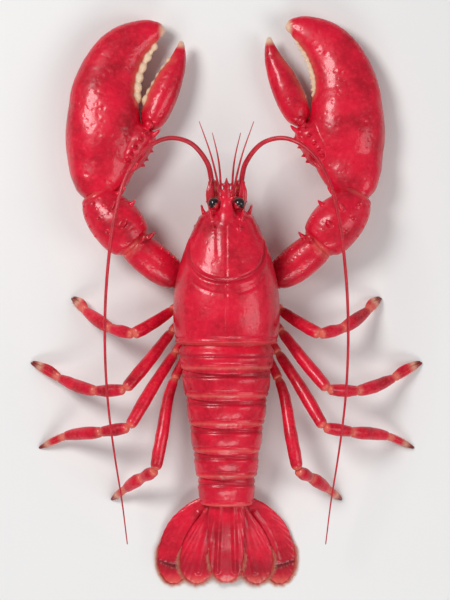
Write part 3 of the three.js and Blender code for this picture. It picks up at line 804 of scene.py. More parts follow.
stalk_places = [(4.5, SHELL_LENGTH - 6, 71), (8.5, SHELL_LENGTH - 1, 73.5), (11.5, SHELL_LENGTH + 2, 75)]
stalk_skin = sweep(stalk_places, [(3.4, 3.4), (4.2, 4.2), (4.6, 4.6)], 32, 24)
cup_skin = ball(EYE_CENTRE - (1.3, 1.1, 0.5), EYE_RADIUS + 0.35, 40, 26)
dome_room = ball(EYE_CENTRE, EYE_RADIUS + 0.1, 48, 30)
stalk = press("eyestalk_right", [stalk_skin, cup_skin], 0.35, [dome_room], 2)
points, _ = read(stalk)
# The dark round the inside of the cup, next to the eye, is painted shade.
paint(
    stalk,
    pale=0.5 * dent(far(points, stalk_places[0]), 4),
    dark=0.5 * dent(far(points, EYE_CENTRE) - EYE_RADIUS, 0.9),
)
settle_pair(stalk, limb_red, "limb")

# %% [markdown]
# ## Feelers
#
# Two pairs of feelers grow under the beak. The antennules are short and forked. The antennae are longer
# than the body and are swept back over the arms, on a thick base of three segments with a leaf-like scale
# beside it. A feeler is made of hundreds of rings that get shorter and thinner towards the tip. Modelling
# them one by one makes no sense: Geometry Nodes resample a line, set a bead on each of its points, turn
# the bead along the line and scale it by a thickness that is stored on the line.

# %% Node trees with named inputs
def new_tree(name, inputs):
    tree = bpy.data.node_groups.new(name, "GeometryNodeTree")
    tree.interface.new_socket("Geometry", in_out="INPUT", socket_type="NodeSocketGeometry")
    for label, (kind, default) in inputs.items():
        socket = tree.interface.new_socket(label, in_out="INPUT", socket_type="NodeSocket" + kind)
        if default is not None:
            socket.default_value = default
    tree.interface.new_socket("Geometry", in_out="OUTPUT", socket_type="NodeSocketGeometry")
    entry = tree.nodes.new("NodeGroupInput")
    return tree, entry.outputs


def finish_tree(tree, geometry, material):
    whole = add_node(tree, "GeometryNodeRealizeInstances", {"Geometry": geometry}).outputs["Geometry"]
    coloured = add_node(tree, "GeometryNodeSetMaterial", {"Geometry": whole, "Material": material})
    add_node(tree, "NodeGroupOutput", {"Geometry": coloured.outputs["Geometry"]})
    return tree


def grow(name, tree, points, edges, attributes, values):
    """Runs a tree on a mesh of points and edges and returns the result as a plain piece."""
    mesh = bpy.data.meshes.new(name)
    mesh.from_pydata(to_frame(points).tolist(), edges, [])
    for label, data in attributes.items():
        data = np.asarray(data, np.float32)
        kind, field = ("FLOAT", "value") if data.ndim == 1 else ("FLOAT_VECTOR", "vector")
        mesh.attributes.new(label, kind, "POINT").data.foreach_set(field, data.ravel())
    piece = bpy.data.objects.new(name, mesh)
    bpy.context.scene.collection.objects.link(piece)
    modifier = piece.modifiers.new("grow", "NODES")
    modifier.node_group = tree
    for item in tree.interface.items_tree:
        if item.in_out == "INPUT" and item.name in values:
            modifier[item.identifier] = values[item.name]
    return bake(piece)


print("a tree starts with its inputs, ends in real points with a material, and is run by a modifier")

# %% Attributes, turns and copies on points
def named(tree, name, kind):
    """An attribute that is stored on the points, by its name."""
    found = add_node(tree, "GeometryNodeInputNamedAttribute", {"Name": name}, data_type=kind)
    return found.outputs["Attribute"]


def turned(tree, way):
    """The rotation that brings an upright form onto the way."""
    turn = add_node(tree, "FunctionNodeAlignRotationToVector", {"Vector": way}, axis="Z")
    return turn.outputs["Rotation"]


def on_points(tree, points, form, turn, scale):
    inputs = {"Points": points, "Instance": form, "Rotation": turn, "Scale": scale}
    return add_node(tree, "GeometryNodeInstanceOnPoints", inputs).outputs["Instances"]


def combined(tree, **axes):
    return add_node(tree, "ShaderNodeCombineXYZ", axes).outputs["Vector"]


print("helpers for attributes, turns and copies on points")

# %% A node tree for rings along a line
FLARE = 1.1  # how much wider a bead is than the core
BEAD_SHARE = 0.46  # half a bead's length, as a share of the spacing
CORE_SHARE = 0.93  # the core's thickness as a share of the feeler's


def ring_tree():
    """A round core along the line with a flattened bead on each of its points."""
    tree, inputs = new_tree("rings along a line", {
        "Rings": ("Int", 200),
        "Bead Length": ("Float", 0.001),
        "Flare": ("Float", FLARE),
        "Material": ("Material", None),
    })
    thick = named(tree, "thick", "FLOAT")
    line = add_node(tree, "GeometryNodeMeshToCurve", {"Mesh": inputs["Geometry"]}).outputs["Curve"]
    even = {"Curve": line, "Count": inputs["Rings"]}
    line = add_node(tree, "GeometryNodeResampleCurve", even).outputs["Curve"]
    circle = {"Resolution": 12, "Radius": 1.0}
    profile = add_node(tree, "GeometryNodeCurvePrimitiveCircle", circle).outputs["Curve"]
    swept = {"Curve": line, "Profile Curve": profile, "Scale": thick, "Fill Caps": True}
    core = add_node(tree, "GeometryNodeCurveToMesh", swept).outputs["Mesh"]
    ball_inputs = {"Segments": 14, "Rings": 7, "Radius": 1.0}
    bead = add_node(tree, "GeometryNodeMeshUVSphere", ball_inputs).outputs["Mesh"]
    tangent = add_node(tree, "GeometryNodeInputTangent").outputs["Tangent"]
    flared = times(tree, thick, inputs["Flare"])
    scale = combined(tree, X=flared, Y=flared, Z=inputs["Bead Length"])
    beads = on_points(tree, line, bead, turned(tree, tangent), scale)
    whole = add_node(tree, "GeometryNodeJoinGeometry")
    for part in (core, beads):
        tree.links.new(part, whole.inputs["Geometry"])
    return finish_tree(tree, whole.outputs["Geometry"], inputs["Material"])


ringed = ring_tree()
print("ring tree:", len(ringed.nodes), "nodes")

# %% A feeler
def feeler(name, route, radii, spacing):
    """A ringed feeler on a smooth line. Spacing is the length of one ring."""
    share = np.linspace(0, 1, 240)
    line = spline(route, share)
    thick = spline([(r, 0) for r in radii], share)[:, 0] * MM
    length = np.linalg.norm(np.diff(line, axis=0), axis=1).sum()
    edges = [(i, i + 1) for i in range(len(line) - 1)]
    bead = BEAD_SHARE * spacing * MM
    values = {"Rings": int(length / spacing), "Bead Length": bead, "Flare": FLARE, "Material": feeler_red}
    return grow(name, ringed, line, edges, {"thick": thick * CORE_SHARE}, values)


print("a feeler of 500 mm with rings of 1.9 mm has", int(500 / 1.9), "of them")

# %% Antennae
FLAGELLUM_ROUTE = [
    (14.2, 163, 51.5), (19.5, 184, 57), (36, 203, 66), (60, 207, 75), (84, 193, 83),
    (101, 165, 88), (111, 126, 91), (117, 82, 91), (120, 36, 88), (120, -12, 83),
    (117, -60, 75), (111, -108, 64), (104, -154, 52), (99, -196, 41),
]
whip = feeler("antenna_right_form", FLAGELLUM_ROUTE, [2.9, 2.3, 1.8, 1.3, 0.6], 1.9)
settle_pair(whip, feeler_red, "feeler")

# %% Antenna base: three segments and a scale
def before_shell(places):
    """Places given as (across, ahead of the eye sockets, height)."""
    return [(across, SHELL_LENGTH + ahead, height) for across, ahead, height in places]


base_places = before_shell([(10.5, -12, 52), (12, 6, 50), (13, 17, 50.5), (14.2, 27, 51.5)])
base_sizes = [(8, 8.5), (6.8, 7), (6.9, 6.6), (4.9, 5), (5.3, 5.3), (3.8, 3.8)]
base_skins = [
    sweep(base_places, base_sizes, 36, 26, head=0.2, tail=0.2, span=span)
    for span in ((0, 0.46), (0.42, 0.74), (0.7, 1.0))
]
base_thorns = [
    *thorn_row(base_places, base_sizes, (0.3, 0), (0.62, 10), 3, 3.2, 1.5, 1.2),
    *thorn_row(base_places, base_sizes, (0.4, 200), (0.7, 210), 3, 2.4, 1.3, 1.2),
]
base_skins += [thorn(*spine) for spine in base_thorns]
scale_places = before_shell([(14.5, -3, 56), (16, 8, 57.5), (16, 18, 58), (14.6, 29, 58)])
scale_sizes = [(3, 1.6), (4.4, 1.4), (3.8, 1.2), (0.8, 0.7)]
scale_skin = sweep(scale_places, scale_sizes, 40, 50)
base = press("antenna_base_right", [*base_skins, scale_skin], 0.48, smooth=3)
SCALE_BOTTOM = 56.5  # the scale lies above this height, the segments below
points, _ = read(base)
joints = spline(base_places, np.array([0.44, 0.72, 1.0]))
at_joints = sum(dent(points[:, 1] - joint[1], 1.5) for joint in joints)
paint(base, pale=0.8 * at_joints * (points[:, 2] < SCALE_BOTTOM))
scale_line = spline(scale_places, np.linspace(0, 1, 12))


def base_relief(points, normals):
    rib = 0.7 * dent(near_from_above(points, scale_line), 0.8) * ramp(points[:, 2], 56, 58)
    rings = 0.7 * sum(dent(far(points, joint) - 5.4, 1.0) for joint in joints[:2])
    return rib - rings * (points[:, 2] < SCALE_BOTTOM) + 0.25 * swell(points, 6, 2) + pits(points, 2.6, 0.12)


work(base, base_relief)
settle_pair(base, limb_red, "limb")

# %% Antennules: a stem of three segments and two ringed whips
stem_places = before_shell([(4.6, -8, 63), (5.2, 5, 63), (6, 15, 62)])
stem_sizes = [(3.3, 3.3), (3.3, 3.3), (2.4, 2.6), (2.6, 2.6), (2, 2)]
stem_skins = [
    sweep(stem_places, stem_sizes, 28, 20, head=0.2, tail=0.2, span=span)
    for span in ((0, 0.45), (0.42, 0.74), (0.7, 1))
]
antennule = new_object("antennule_right", stem_skins)
WHIPS = [
    [(6.5, 12, 62.5), (11, 34, 67), (17, 56, 69), (27, 84, 68)],
    [(5.5, 12, 61.5), (6.5, 34, 63), (9, 52, 63), (14, 73, 60)],
]
WHIP_RADII = [1.4, 1.1, 0.8, 0.4]
whips = [feeler(f"whip_{i}", before_shell(line), WHIP_RADII, 1.15) for i, line in enumerate(WHIPS)]


def merge(target, others):
    """Joins the meshes of other objects to the target's own."""
    with bpy.context.temp_override(active_object=target, selected_editable_objects=[target, *others]):
        bpy.ops.object.join()


merge(antennule, whips)
settle_pair(antennule, feeler_red, "feeler")

# %% [markdown]
# ## Jaw legs
#
# The third maxillipeds are stout little legs folded under the mouth, with a comb of teeth along their
# inner edges. They reach forward to just below the feelers. Their segments meet at pale joints.

# %% Third maxillipeds
JAW_ROUTE = [(9, 82, 17.5), (12, 104, 19), (11, 130, 25), (8, 149, 31), (6, 160, 29)]
JAW_SIZES = [(5.5, 5), (6.5, 5.6), (5, 5), (5.6, 5), (4, 3.8), (3.6, 3.4), (1.4, 1.4)]
JAW_SPANS = [(0, 0.2), (0.17, 0.52), (0.49, 0.7), (0.67, 0.85), (0.82, 1)]
COMB_FIRST, COMB_LAST, COMB_SPACING = 106, 137, 3.1
jaw_skins = [sweep(JAW_ROUTE, JAW_SIZES, 32, 26, head=0.16, tail=0.16, span=span) for span in JAW_SPANS]
jaw_start, jaw_end = JAW_ROUTE[0][1], JAW_ROUTE[-1][1]
comb = []
for y in np.arange(COMB_FIRST, COMB_LAST, COMB_SPACING):
    root = spline(JAW_ROUTE, np.array([(y - jaw_start) / (jaw_end - jaw_start)]))[0]
    comb.append(thorn(root + (-3.5, 0, 1), root + (-7.4, 1.0, 1.6), 1.35, sides=10, rings=6))
jaw = press("maxilliped_right", [*jaw_skins, *comb], 0.5, smooth=2)
points, _ = read(jaw)
jaw_joints = spline(JAW_ROUTE, np.array([0.185, 0.505, 0.685, 0.835]))
ends = np.min([np.abs(points[:, 1] - joint[1]) for joint in jaw_joints], axis=0)
on_comb = ramp(6.2 - points[:, 0], 0.5, 2.5) * (points[:, 1] < COMB_LAST + 2)
paint(jaw, pale=0.75 * dent(ends, 1.6), bone=0.7 * on_comb)
settle_pair(jaw, limb_red, "limb")

# %% [markdown]
# ## The arms of the claws
#
# Three segments carry each claw: a short one from under the head, a longer one that widens outwards, and
# a heavy knob before the wrist. Each is a swept skin with hooked thorns along its inner edge, pressed
# together like the shield. Both ends of a segment have a raised lip with a furrow behind it, and in the
# joint between two of them the thin, pale skin of the hinge shows, so a pale ball sits there.

# %% Tools for limb segments
def collars(points, places, lift=0.7, back=4.0):
    """A raised lip and the furrow behind it, at both ends of a segment."""
    total = 0
    for end, inner in ((places[0], places[1]), (places[-1], places[-2])):
        way = (points - np.array(end)) @ unit(np.array(inner, float) - end)
        total = total + lift * (dent(way - back, 2.0) - dent(way - back - 3.6, 1.6))
    return total


def segment(name, places, sizes, thorns, socket, voxel=0.74, **shape):
    """Socket is the ball of the hinge at the segment's root: its place and its radius."""
    skins = [sweep(places, sizes, 56, 60, **shape), ball(np.array(socket[0]), socket[1], 32, 20)]
    piece = press(name, skins + [thorn(*spine) for spine in thorns], voxel)

    def relief(points, normals):
        slow = 0.4 * swell(points, 13, 3) + 0.12 * swell(points, 4, 4)
        return slow + collars(points, places) + pits(points, 4.2, 0.2)

    work(piece, relief)
    points, normals = read(piece)
    ends = np.minimum(far(points, places[0]) / sizes[0][0], far(points, places[-1]) / sizes[-1][0])
    hinge = 1 - ramp(far(points, socket[0]) - socket[1], 0.6, 2.0)
    under = 0.6 * downward(normals, 0.3, 0.8)
    paint(
        piece,
        pale=np.maximum(under, 0.8 * hinge) + 0.3 * (1 - ramp(ends, 0.9, 1.2)),
        bone=0.6 * (1 - ramp(to_tips(points, thorns), 0.3, 1.7)),
    )
    return piece


print("segments get collars, thorns, a hinge ball and paint")

# %% The short segment
ISCHIUM = [(20, 82, 22), (33, 77, 23), (48, 70, 26)]
ISCHIUM_SIZES = [(10, 8), (11, 9), (10, 9), (12.5, 11)]
ischium_thorns = thorn_row(ISCHIUM, ISCHIUM_SIZES, (0.3, 190), (0.85, 200), 4, 3.6, 1.9)
ischium = segment("claw_ischium_right", ISCHIUM, ISCHIUM_SIZES, ischium_thorns, ((22, 81, 22), 7.5), 0.66)
settle_pair(ischium, limb_red, "limb")

# %% The long segment
MERUS = [(43, 69, 25.5), (58.5, 75.5, 30), (75.5, 88, 35), (95.5, 104.5, 40)]
MERUS_SIZES = [(11, 9.5), (15.5, 13), (18, 15), (18, 16), (16, 15)]
merus_thorns = [
    ((80, 108.5, 44), (71, 116.5, 50), 3.4),
    ((93, 116.5, 46), (83, 125.5, 52), 3.6),
    ((86, 102.5, 50), (82, 110.5, 57), 3.2),
    *thorn_row(MERUS, MERUS_SIZES, (0.3, 150), (0.66, 145), 4, 3.4, 1.9),
    *thorn_row(MERUS, MERUS_SIZES, (0.35, 210), (0.85, 205), 5, 3.2, 1.9),
]
merus_hinge = ((46.5, 71, 26), 9.5)
merus = segment("claw_merus_right", MERUS, MERUS_SIZES, merus_thorns, merus_hinge, head=0.14, tail=0.1)
settle_pair(merus, shell_red, "shell")

# %% The knob before the wrist
CARPUS = [(88, 98, 38), (104, 117, 39), (120.5, 136, 37), (132, 156, 34)]
CARPUS_SIZES = [(17, 14), (24.5, 19), (25.5, 21), (21.5, 18), (15, 13)]
carpus_thorns = [
    ((94, 126, 44), (84, 132, 50), 4.0),
    ((101.5, 138.5, 44), (90.5, 147.5, 49), 4.4),
    ((111, 151, 42), (100, 161, 46), 4.0),
    ((105, 120, 56), (99, 128, 64), 3.6),
    ((116, 137, 55), (111, 146, 62), 3.6),
    *thorn_row(CARPUS, CARPUS_SIZES, (0.42, 62), (0.8, 70), 3, 4.2, 2.4),
    *thorn_row(CARPUS, CARPUS_SIZES, (0.5, 20), (0.86, 30), 4, 2.4, 1.9),
]
carpus_hinge = ((92, 102.5, 38.5), 12)
carpus = segment("claw_carpus_right", CARPUS, CARPUS_SIZES, carpus_thorns, carpus_hinge, head=0.16, tail=0.12)
settle_pair(carpus, shell_red, "shell")

# %% [markdown]
# ## The claws
#
# One claw crushes and the other cuts. Both are the same shape, a swollen palm that runs out into a fixed
# finger, with a second finger hinged beside it. The crusher is thicker and has round molars, the cutter
# has a row of pointed teeth with small ones between them. The stations are shares of the claw's own
# length, width and thickness, so one function makes both. The claw lies on the floor, so its underside is
# pressed flat there. The crusher is made on the right side, where all the sizes are, and then mirrored.

# %% Stations of a claw
PALM_STATIONS = [
    # shift inwards, place along the claw, half width, half thickness
    (-0.01, -0.035, 0.16, 0.24),
    (0.045, 0.085, 0.335, 0.38),
    (0.09, 0.205, 0.42, 0.47),
    (0.11, 0.345, 0.455, 0.5),
    (0.115, 0.475, 0.43, 0.47),
    (0.12, 0.6, 0.385, 0.41),
    (0.205, 0.727, 0.335, 0.34),
    (0.365, 0.84, 0.285, 0.28),
    (0.575, 0.913, 0.2, 0.21),
    (0.74, 0.94, 0.12, 0.15),
    (0.848, 0.938, 0.035, 0.05),
]
SHOULDER_STATIONS = [
    (0.3, 0.145, 0.19, 0.34),
    (0.4, 0.235, 0.215, 0.4),
    (0.53, 0.32, 0.2, 0.37),
    (0.64, 0.4, 0.16, 0.32),
]
DACTYL_STATIONS = [
    (0.635, 0.375, 0.11, 0.25),
    (0.72, 0.465, 0.165, 0.3),
    (0.8, 0.555, 0.18, 0.29),
    (0.893, 0.655, 0.16, 0.25),
    (0.985, 0.75, 0.11, 0.19),
    (1.03, 0.83, 0.062, 0.12),
    (1.04, 0.885, 0.02, 0.04),
]
WRIST = (132.5, 151)
WRIST_HEIGHT = 33
print("a claw is", CLAW_LENGTH, "mm long, its palm", round(2 * PALM_STATIONS[3][2] * CLAW_WIDTH), "mm wide")

# %% From stations to places
def claw_place(station, thickness, shift):
    """Shift moves the claw, but not its wrist. The fingers sag towards the floor."""
    inward, along = station[:2]
    moved = min(1, max(0, 6 * along))
    level = min(1, max(0, along / 0.2))
    height = WRIST_HEIGHT + (thickness / 2 - SETTLE - WRIST_HEIGHT) * level
    sag = max(0, along - 0.5) * 0.22 * thickness
    x = WRIST[0] + shift[0] * moved - inward * CLAW_WIDTH
    return np.array([x, WRIST[1] + shift[1] * moved + along * CLAW_LENGTH, height - sag])


def claw_sizes(stations, thickness):
    return [(station[2] * CLAW_WIDTH, station[3] * thickness) for station in stations]


print("the crusher's finger tip lies at", claw_place(PALM_STATIONS[-1], CRUSHER_THICKNESS, (0, 0)).round())

# %% Teeth
FIXED_ROW = ((0.49, 0.56), (0.71, 0.85), 0.055)  # start, end and outward bow, as the stations
MOVING_ROW = ((0.645, 0.54), (0.9, 0.765), 0.01)
MOLARS = (11, (6.2, 3.6))  # how many, and the radii of the first and the last
CUTTING_TEETH = (19, (3.2, 1.9))


def tooth_row(line, count, radii, place):
    """Places and radii of a row of teeth. Every second tooth is smaller."""
    (start, end, bow), rows = line, []
    for i in range(count):
        share = i / (count - 1)
        inward = start[0] + (end[0] - start[0]) * share - bow * math.sin(math.pi * share)
        along = start[1] + (end[1] - start[1]) * share
        radius = (radii[0] + (radii[1] - radii[0]) * share) * (1 if i % 2 == 0 else 0.62)
        rows.append((place((inward, along)), radius))
    return rows


def teeth_skins(teeth, facing, crusher):
    """Facing is the direction in which the row bites, in the claw's plane."""
    facing = unit(np.array([*facing, 0.0]))
    skins = []
    for centre, radius in teeth:
        if crusher:
            skins.append(ball(centre + 0.5 * facing, radius * np.array([1, 1.12, 0.95]), 22, 14))
        else:
            root, tip = centre - 1.5 * facing, centre + facing * (1.4 * radius + 1)
            skins.append(thorn(root, tip, 1.05 * radius, curl=0, sides=14, rings=10))
    return skins


print("molar radii:", [round(radius, 1) for _, radius in tooth_row(FIXED_ROW, *MOLARS, np.array)], "mm")

# %% One half of a claw
def claw_half(name, skin, extras, teeth, tip, voxel):
    """Presses, wrinkles and paints a palm or a finger. Tip is the place of its bone-coloured end."""
    piece = press(name, [skin, *extras], voxel)

    def relief(points, normals):
        upper = ramp(normals[:, 2], -0.2, 0.4)
        slow = 0.9 * swell(points, 26, 3) + 0.35 * swell(points, 11, 4) + 0.12 * swell(points, 4, 6)
        return slow * upper + pits(points, 4.6, 0.22) + pits(points, 9.0, 0.25, 8)

    work(piece, relief)
    stand(piece)
    points, normals = read(piece)
    bite = np.min([far(points, centre) - radius for centre, radius in teeth], axis=0)
    bone = 0.95 * (1 - ramp(bite, 0.3, 2.6)) + 0.8 * (1 - ramp(far(points, tip), 5, 12))
    under = 0.55 * downward(normals, 0.35, 0.9)
    edge = 0.35 * (1 - ramp(bite, 3, 10))
    paint(piece, pale=under + edge, bone=bone)
    return piece


print("claw halves are wrinkled above and flat below")

# %% A whole claw
HAND_VOXEL, FINGER_VOXEL = 1.0, 0.78
HINGE_STATION = (0.655, 0.405)
SPINE_PLACES = (0.17, 0.235, 0.3, 0.365)


def shoulder_parts(place, thickness):
    """The ridge on the palm's inner side and the roots, tips and radii of its spines."""
    spines = []
    for i, along in enumerate(SPINE_PLACES):
        x, y, z = place((0.52 + 0.085 * i, along))
        spines.append(((x + 9, y - 5, z + 9), (x - 2, y + 4, z + 17 - i), 3.6))
    ridge = [place(station) for station in SHOULDER_STATIONS], claw_sizes(SHOULDER_STATIONS, thickness)
    spines += thorn_row(*ridge, (0.2, 100), (0.85, 95), 5, 4.6, 2.6)
    spines += thorn_row(*ridge, (0.3, 170), (0.8, 165), 4, 3.6, 2.4)
    return sweep(*ridge, 48, 30, head=0.3, tail=0.2), [thorn(*spine) for spine in spines]


def claw(kind, thickness, shift, crusher):
    place = lambda station: claw_place(station, thickness, shift)
    palm, finger = ([place(station) for station in stations] for stations in (PALM_STATIONS, DACTYL_STATIONS))
    teeth = MOLARS if crusher else CUTTING_TEETH
    fixed, moving = tooth_row(FIXED_ROW, *teeth, place), tooth_row(MOVING_ROW, *teeth, place)
    shoulder, spines = shoulder_parts(place, thickness)
    knobs = [
        ball(place(HINGE_STATION) + (0, 0, side * 0.27 * thickness), np.array([4.6, 5.2, 3.4]), 24, 16)
        for side in (1, -1)
    ]
    wrist_ball = ball(np.array([WRIST[0] - 1, WRIST[1] + 1.5, WRIST_HEIGHT]), 11.5, 32, 20)
    palm_skin = sweep(palm, claw_sizes(PALM_STATIONS, thickness), 84, 120, 2.1, head=0.04, tail=0.03)
    extras = [shoulder, wrist_ball, *spines, *knobs, *teeth_skins(fixed, (-1, -0.55), crusher)]
    hand = claw_half(f"{kind}_hand_right", palm_skin, extras, fixed, palm[-1], HAND_VOXEL)
    finger_skin = sweep(finger, claw_sizes(DACTYL_STATIONS, thickness), 64, 90, head=0.12, tail=0.03)
    extras = teeth_skins(moving, (1, 0.25), crusher)
    dactyl = claw_half(f"{kind}_dactyl_right", finger_skin, extras, moving, finger[-1], FINGER_VOXEL)
    return hand, dactyl


print("each palm has", len(SPINE_PLACES), "large spines on its inner side and two rows of small ones")

# %% Cutter on the right, crusher on the left
for piece in claw("cutter", CUTTER_THICKNESS, (-2.5, 4), False):
    settle(piece, shell_red, "shell", node_of(piece))
for piece in claw("crusher", CRUSHER_THICKNESS, (0, 0), True):
    left = mirrored(piece, piece.name.replace("_right_", "_left_"))
    bpy.data.objects.remove(piece)
    settle(left, shell_red, "shell", node_of(left))

# %% [markdown]
# ## Walking legs
#
# Four pairs of legs reach out sideways and down, each with six free segments. They grow thicker up to the
# knee and end in a horny point. The first two pairs end in a small pincer, so they have a second finger.
# All segments of a leg lie on one smooth line, and each one is a stretch of it, with a waist at either
# end where the next begins and a small pale ball in the joint.

# %% Routes and sizes of the legs
LEG_ROUTES = [
    # root and places up to the knee, then the places from the knee to the tip
    ([(23, 60, 18.5), (50, 40, 21.5), (73, 24, 41)],
     [(93, 13, 57), (118, 20, 38), (141, 36, 15), (156, 49, 0)]),
    ([(23, 45, 18.5), (50, 21, 21.5), (76, -12, 41)],
     [(101, -42, 59), (134, -43, 41), (166, -32, 17), (197, -16, 0)]),
    ([(23, 30, 18.5), (47, 1, 20), (73, -39, 40)],
     [(97, -80, 57), (128, -85, 41), (160, -89, 17), (189, -102, 0)]),
    ([(22, 15, 18.5), (43, -14, 19.5), (57, -46, 33), (64, -86, 46)],
     [(71, -123, 50), (93, -136, 25), (116, -154, 0)]),
]
UPPER_SIZES = [(5.2, 5, 8.5), (5.2, 5, 7), (4.6, 4.6), (5.4, 5.4), (6.2, 6.2), (6.5, 6.5), (5.8, 5.8)]
LOWER_SIZES = [(4.8, 4.8), (6.4, 6), (5.2, 5), (6.6, 5.8), (6, 5.2), (4, 3.6), (3.4, 3), (1.3, 1.3)]
UPPER_SPANS = [(0, 0.17), (0.15, 0.4), (0.38, 1)]
LOWER_SPANS = [(0, 0.3), (0.28, 0.7), (0.68, 1)]
PINCER_LEGS = 2
PINCER_LINE = [(0, 1), (0.4, 4.4), (0.75, 3.6), (0.97, 1.9)]  # share from ankle to tip, distance aside
PINCER_SIZES = [(3.2, 3), (2.6, 2.2), (1.8, 1.6), (0.8, 0.8)]
print(len(LEG_ROUTES), "legs a side, knees at", [lower[0][2] for _, lower in LEG_ROUTES], "mm")

# %% Tools for legs
def jointed(places, sizes, spans):
    """The segments of a leg and the balls in the joints between them."""
    skins = [sweep(places, sizes, 30, 44, head=0.1, tail=0.07, span=span) for span in spans]
    for before, after in zip(spans, spans[1:]):
        share = np.array([(before[1] + after[0]) / 2])
        radius = 0.8 * spline([(s[0], s[1]) for s in sizes], share)[0, 0]
        skins.append(ball(spline(places, share)[0], radius, 24, 16))
    return skins


def paint_leg(piece, places, spans, tip=None):
    points, normals = read(piece)
    joints = spline(places, np.array([0.0] + [span[1] for span in spans]))
    dark = bone = 0.0
    if tip is not None:
        joints = joints[:-1]
        dark = 0.8 * (1 - ramp(far(points, tip), 5, 13))
        bone = 0.7 * (1 - ramp(far(points, tip), 9, 20)) * (1 - dark)
    ends = np.min([far(points, joint) for joint in joints], axis=0)
    under = 0.4 * downward(normals, 0.3, 0.9)
    paint(piece, pale=0.75 * (1 - ramp(ends, 3.5, 8)) + under, bone=bone, dark=dark)


def pincer_finger(ankle, tip):
    """The second finger of a small pincer, beside the last segment."""
    aside = unit(np.array([ankle[1] - tip[1], tip[0] - ankle[0], 0.0]))
    places = [ankle + (tip - ankle) * share + aside * off + (0, 0, 1) for share, off in PINCER_LINE]
    return sweep(places, PINCER_SIZES, 24, 30, head=0.15, tail=0.06)


def leg_relief(points, normals):
    return 0.3 * swell(points, 8, 3) + 0.1 * swell(points, 2.6, 4) + pits(points, 2.8, 0.12)


print("leg tools: segments with balls, paint, a pincer and relief")

# %% Legs
for order, (upper_route, lower_route) in enumerate(LEG_ROUTES):
    upper_route = upper_route + lower_route[:1]
    lower_skins = jointed(lower_route, LOWER_SIZES, LOWER_SPANS)
    ankle, tip = np.array(lower_route[-2:], float)
    if order < PINCER_LEGS:
        lower_skins.append(pincer_finger(ankle, tip))
    upper_skins = jointed(upper_route, UPPER_SIZES, UPPER_SPANS)
    halves = (
        (new_object(f"leg_{order + 1}_upper_right", upper_skins), upper_route, UPPER_SPANS, None),
        (new_object(f"leg_{order + 1}_lower_right", lower_skins), lower_route, LOWER_SPANS, tip),
    )
    for piece, places, spans, end in halves:
        work(piece, leg_relief)
        stand(piece)
        paint_leg(piece, places, spans, end)
        settle_pair(piece, limb_red, "limb")

# %% [markdown]
# ## The breastplate
#
# Under the body a row of narrow plates carries the legs, and in front of it the mouth parts rise between
# the jaw legs. The plates are one flat swept skin with a suture across it at every pair of legs and a
# furrow down the middle. Its top lies against the shield's hem and is never seen.

# %% Breastplate and mouth
plate = sweep(
    [(0, 3, 18), (0, 32, 17.5), (0, 62, 17.5), (0, 86, 18.5), (0, 104, 21)],
    [(19, 8, 5), (27, 8, 5.5), (29, 8, 5.5), (27, 8, 5.5), (12, 7, 5)], 64, 70, 3, head=0.08,
)
mouth = sweep(
    [(0, 78, 24), (0, 96, 30), (0, 114, 38), (0, 130, 47)],
    [(13, 6), (15, 9), (13, 10), (9, 8)], 48, 40,
)
chest = press("sternum", [plate, mouth], 0.85, smooth=3)
SUTURES = (8, 22, 37, 52, 67, 84)  # how far forward each one crosses the middle


def chest_relief(points, normals):
    x, y, _ = points.T
    below = downward(normals, 0.2, 0.6) * (y < 100)
    sutures = sum(dent(y - at + 0.12 * np.abs(x), 1.1) for at in SUTURES)
    return -1.3 * sutures * below - 1.2 * dent(x, 1.2) * below + 0.3 * swell(points, 9, 2)


work(chest, chest_relief)
points, normals = read(chest)
# The dark down the middle is painted shade in the middle furrow.
paint(chest, pale=0.4 + 0.2 * swell(points, 12, 7), dark=0.25 * dent(points[:, 0], 1.2))
settle(chest, belly_coral, "belly", "sternum")

# %% [markdown]
# ## Tail rings
#
# Six rings follow the shield, each a closed arch that slides under the one before it. On a ring, a band
# at the front goes under its neighbour, a furrow crosses behind it, and the rear edge has a rim. On
# either side a flap hangs down to a point. Rings overlap as roof tiles do, so every ring is swept a
# little narrower in front, where it is tucked in, than behind.

# %% Widths of the tail and its rings
RING_SHARES = (0.11, 0.18, 0.18, 0.175, 0.165, 0.19)
TUCK = 9  # how far a ring reaches under the one before it
LIP = 4  # how far a rear edge reaches over the next ring
ring_edges = [0.0]
for ring_share in RING_SHARES:
    ring_edges.append(ring_edges[-1] - ring_share * TAIL_LENGTH)


def tail_at(y):
    """Half width, top, hem and middle height of the tail at a place along it."""
    share = min(1, max(0, -y / TAIL_LENGTH))
    wide = TAIL_HALF_WIDTH[0] + (TAIL_HALF_WIDTH[1] - TAIL_HALF_WIDTH[0]) * share
    top, hem = 93 - 55 * share**1.25, 36 - 27 * share**0.9
    return wide, top, hem, hem + 0.36 * (top - hem)


print("ring edges at", [round(edge) for edge in ring_edges], "mm")

# %% Skins of a ring and its flaps
def ring_skin(order):
    front, rear = ring_edges[order] + TUCK, ring_edges[order + 1] - LIP
    places, sizes = [], []
    for share in (0, 0.2, 0.45, 0.75, 1):
        y = front + (rear - front) * share
        wide, top, hem, middle = tail_at(y)
        tuck = 5.2 if share < 0.3 else 0.9 * (1 - share)
        places.append((0, y, middle))
        sizes.append((wide - tuck, top - middle - tuck, middle - hem - 0.5 * tuck))
    return sweep(places, sizes, 96, 56, 2.1, 3.2, 0.08, 0.08)


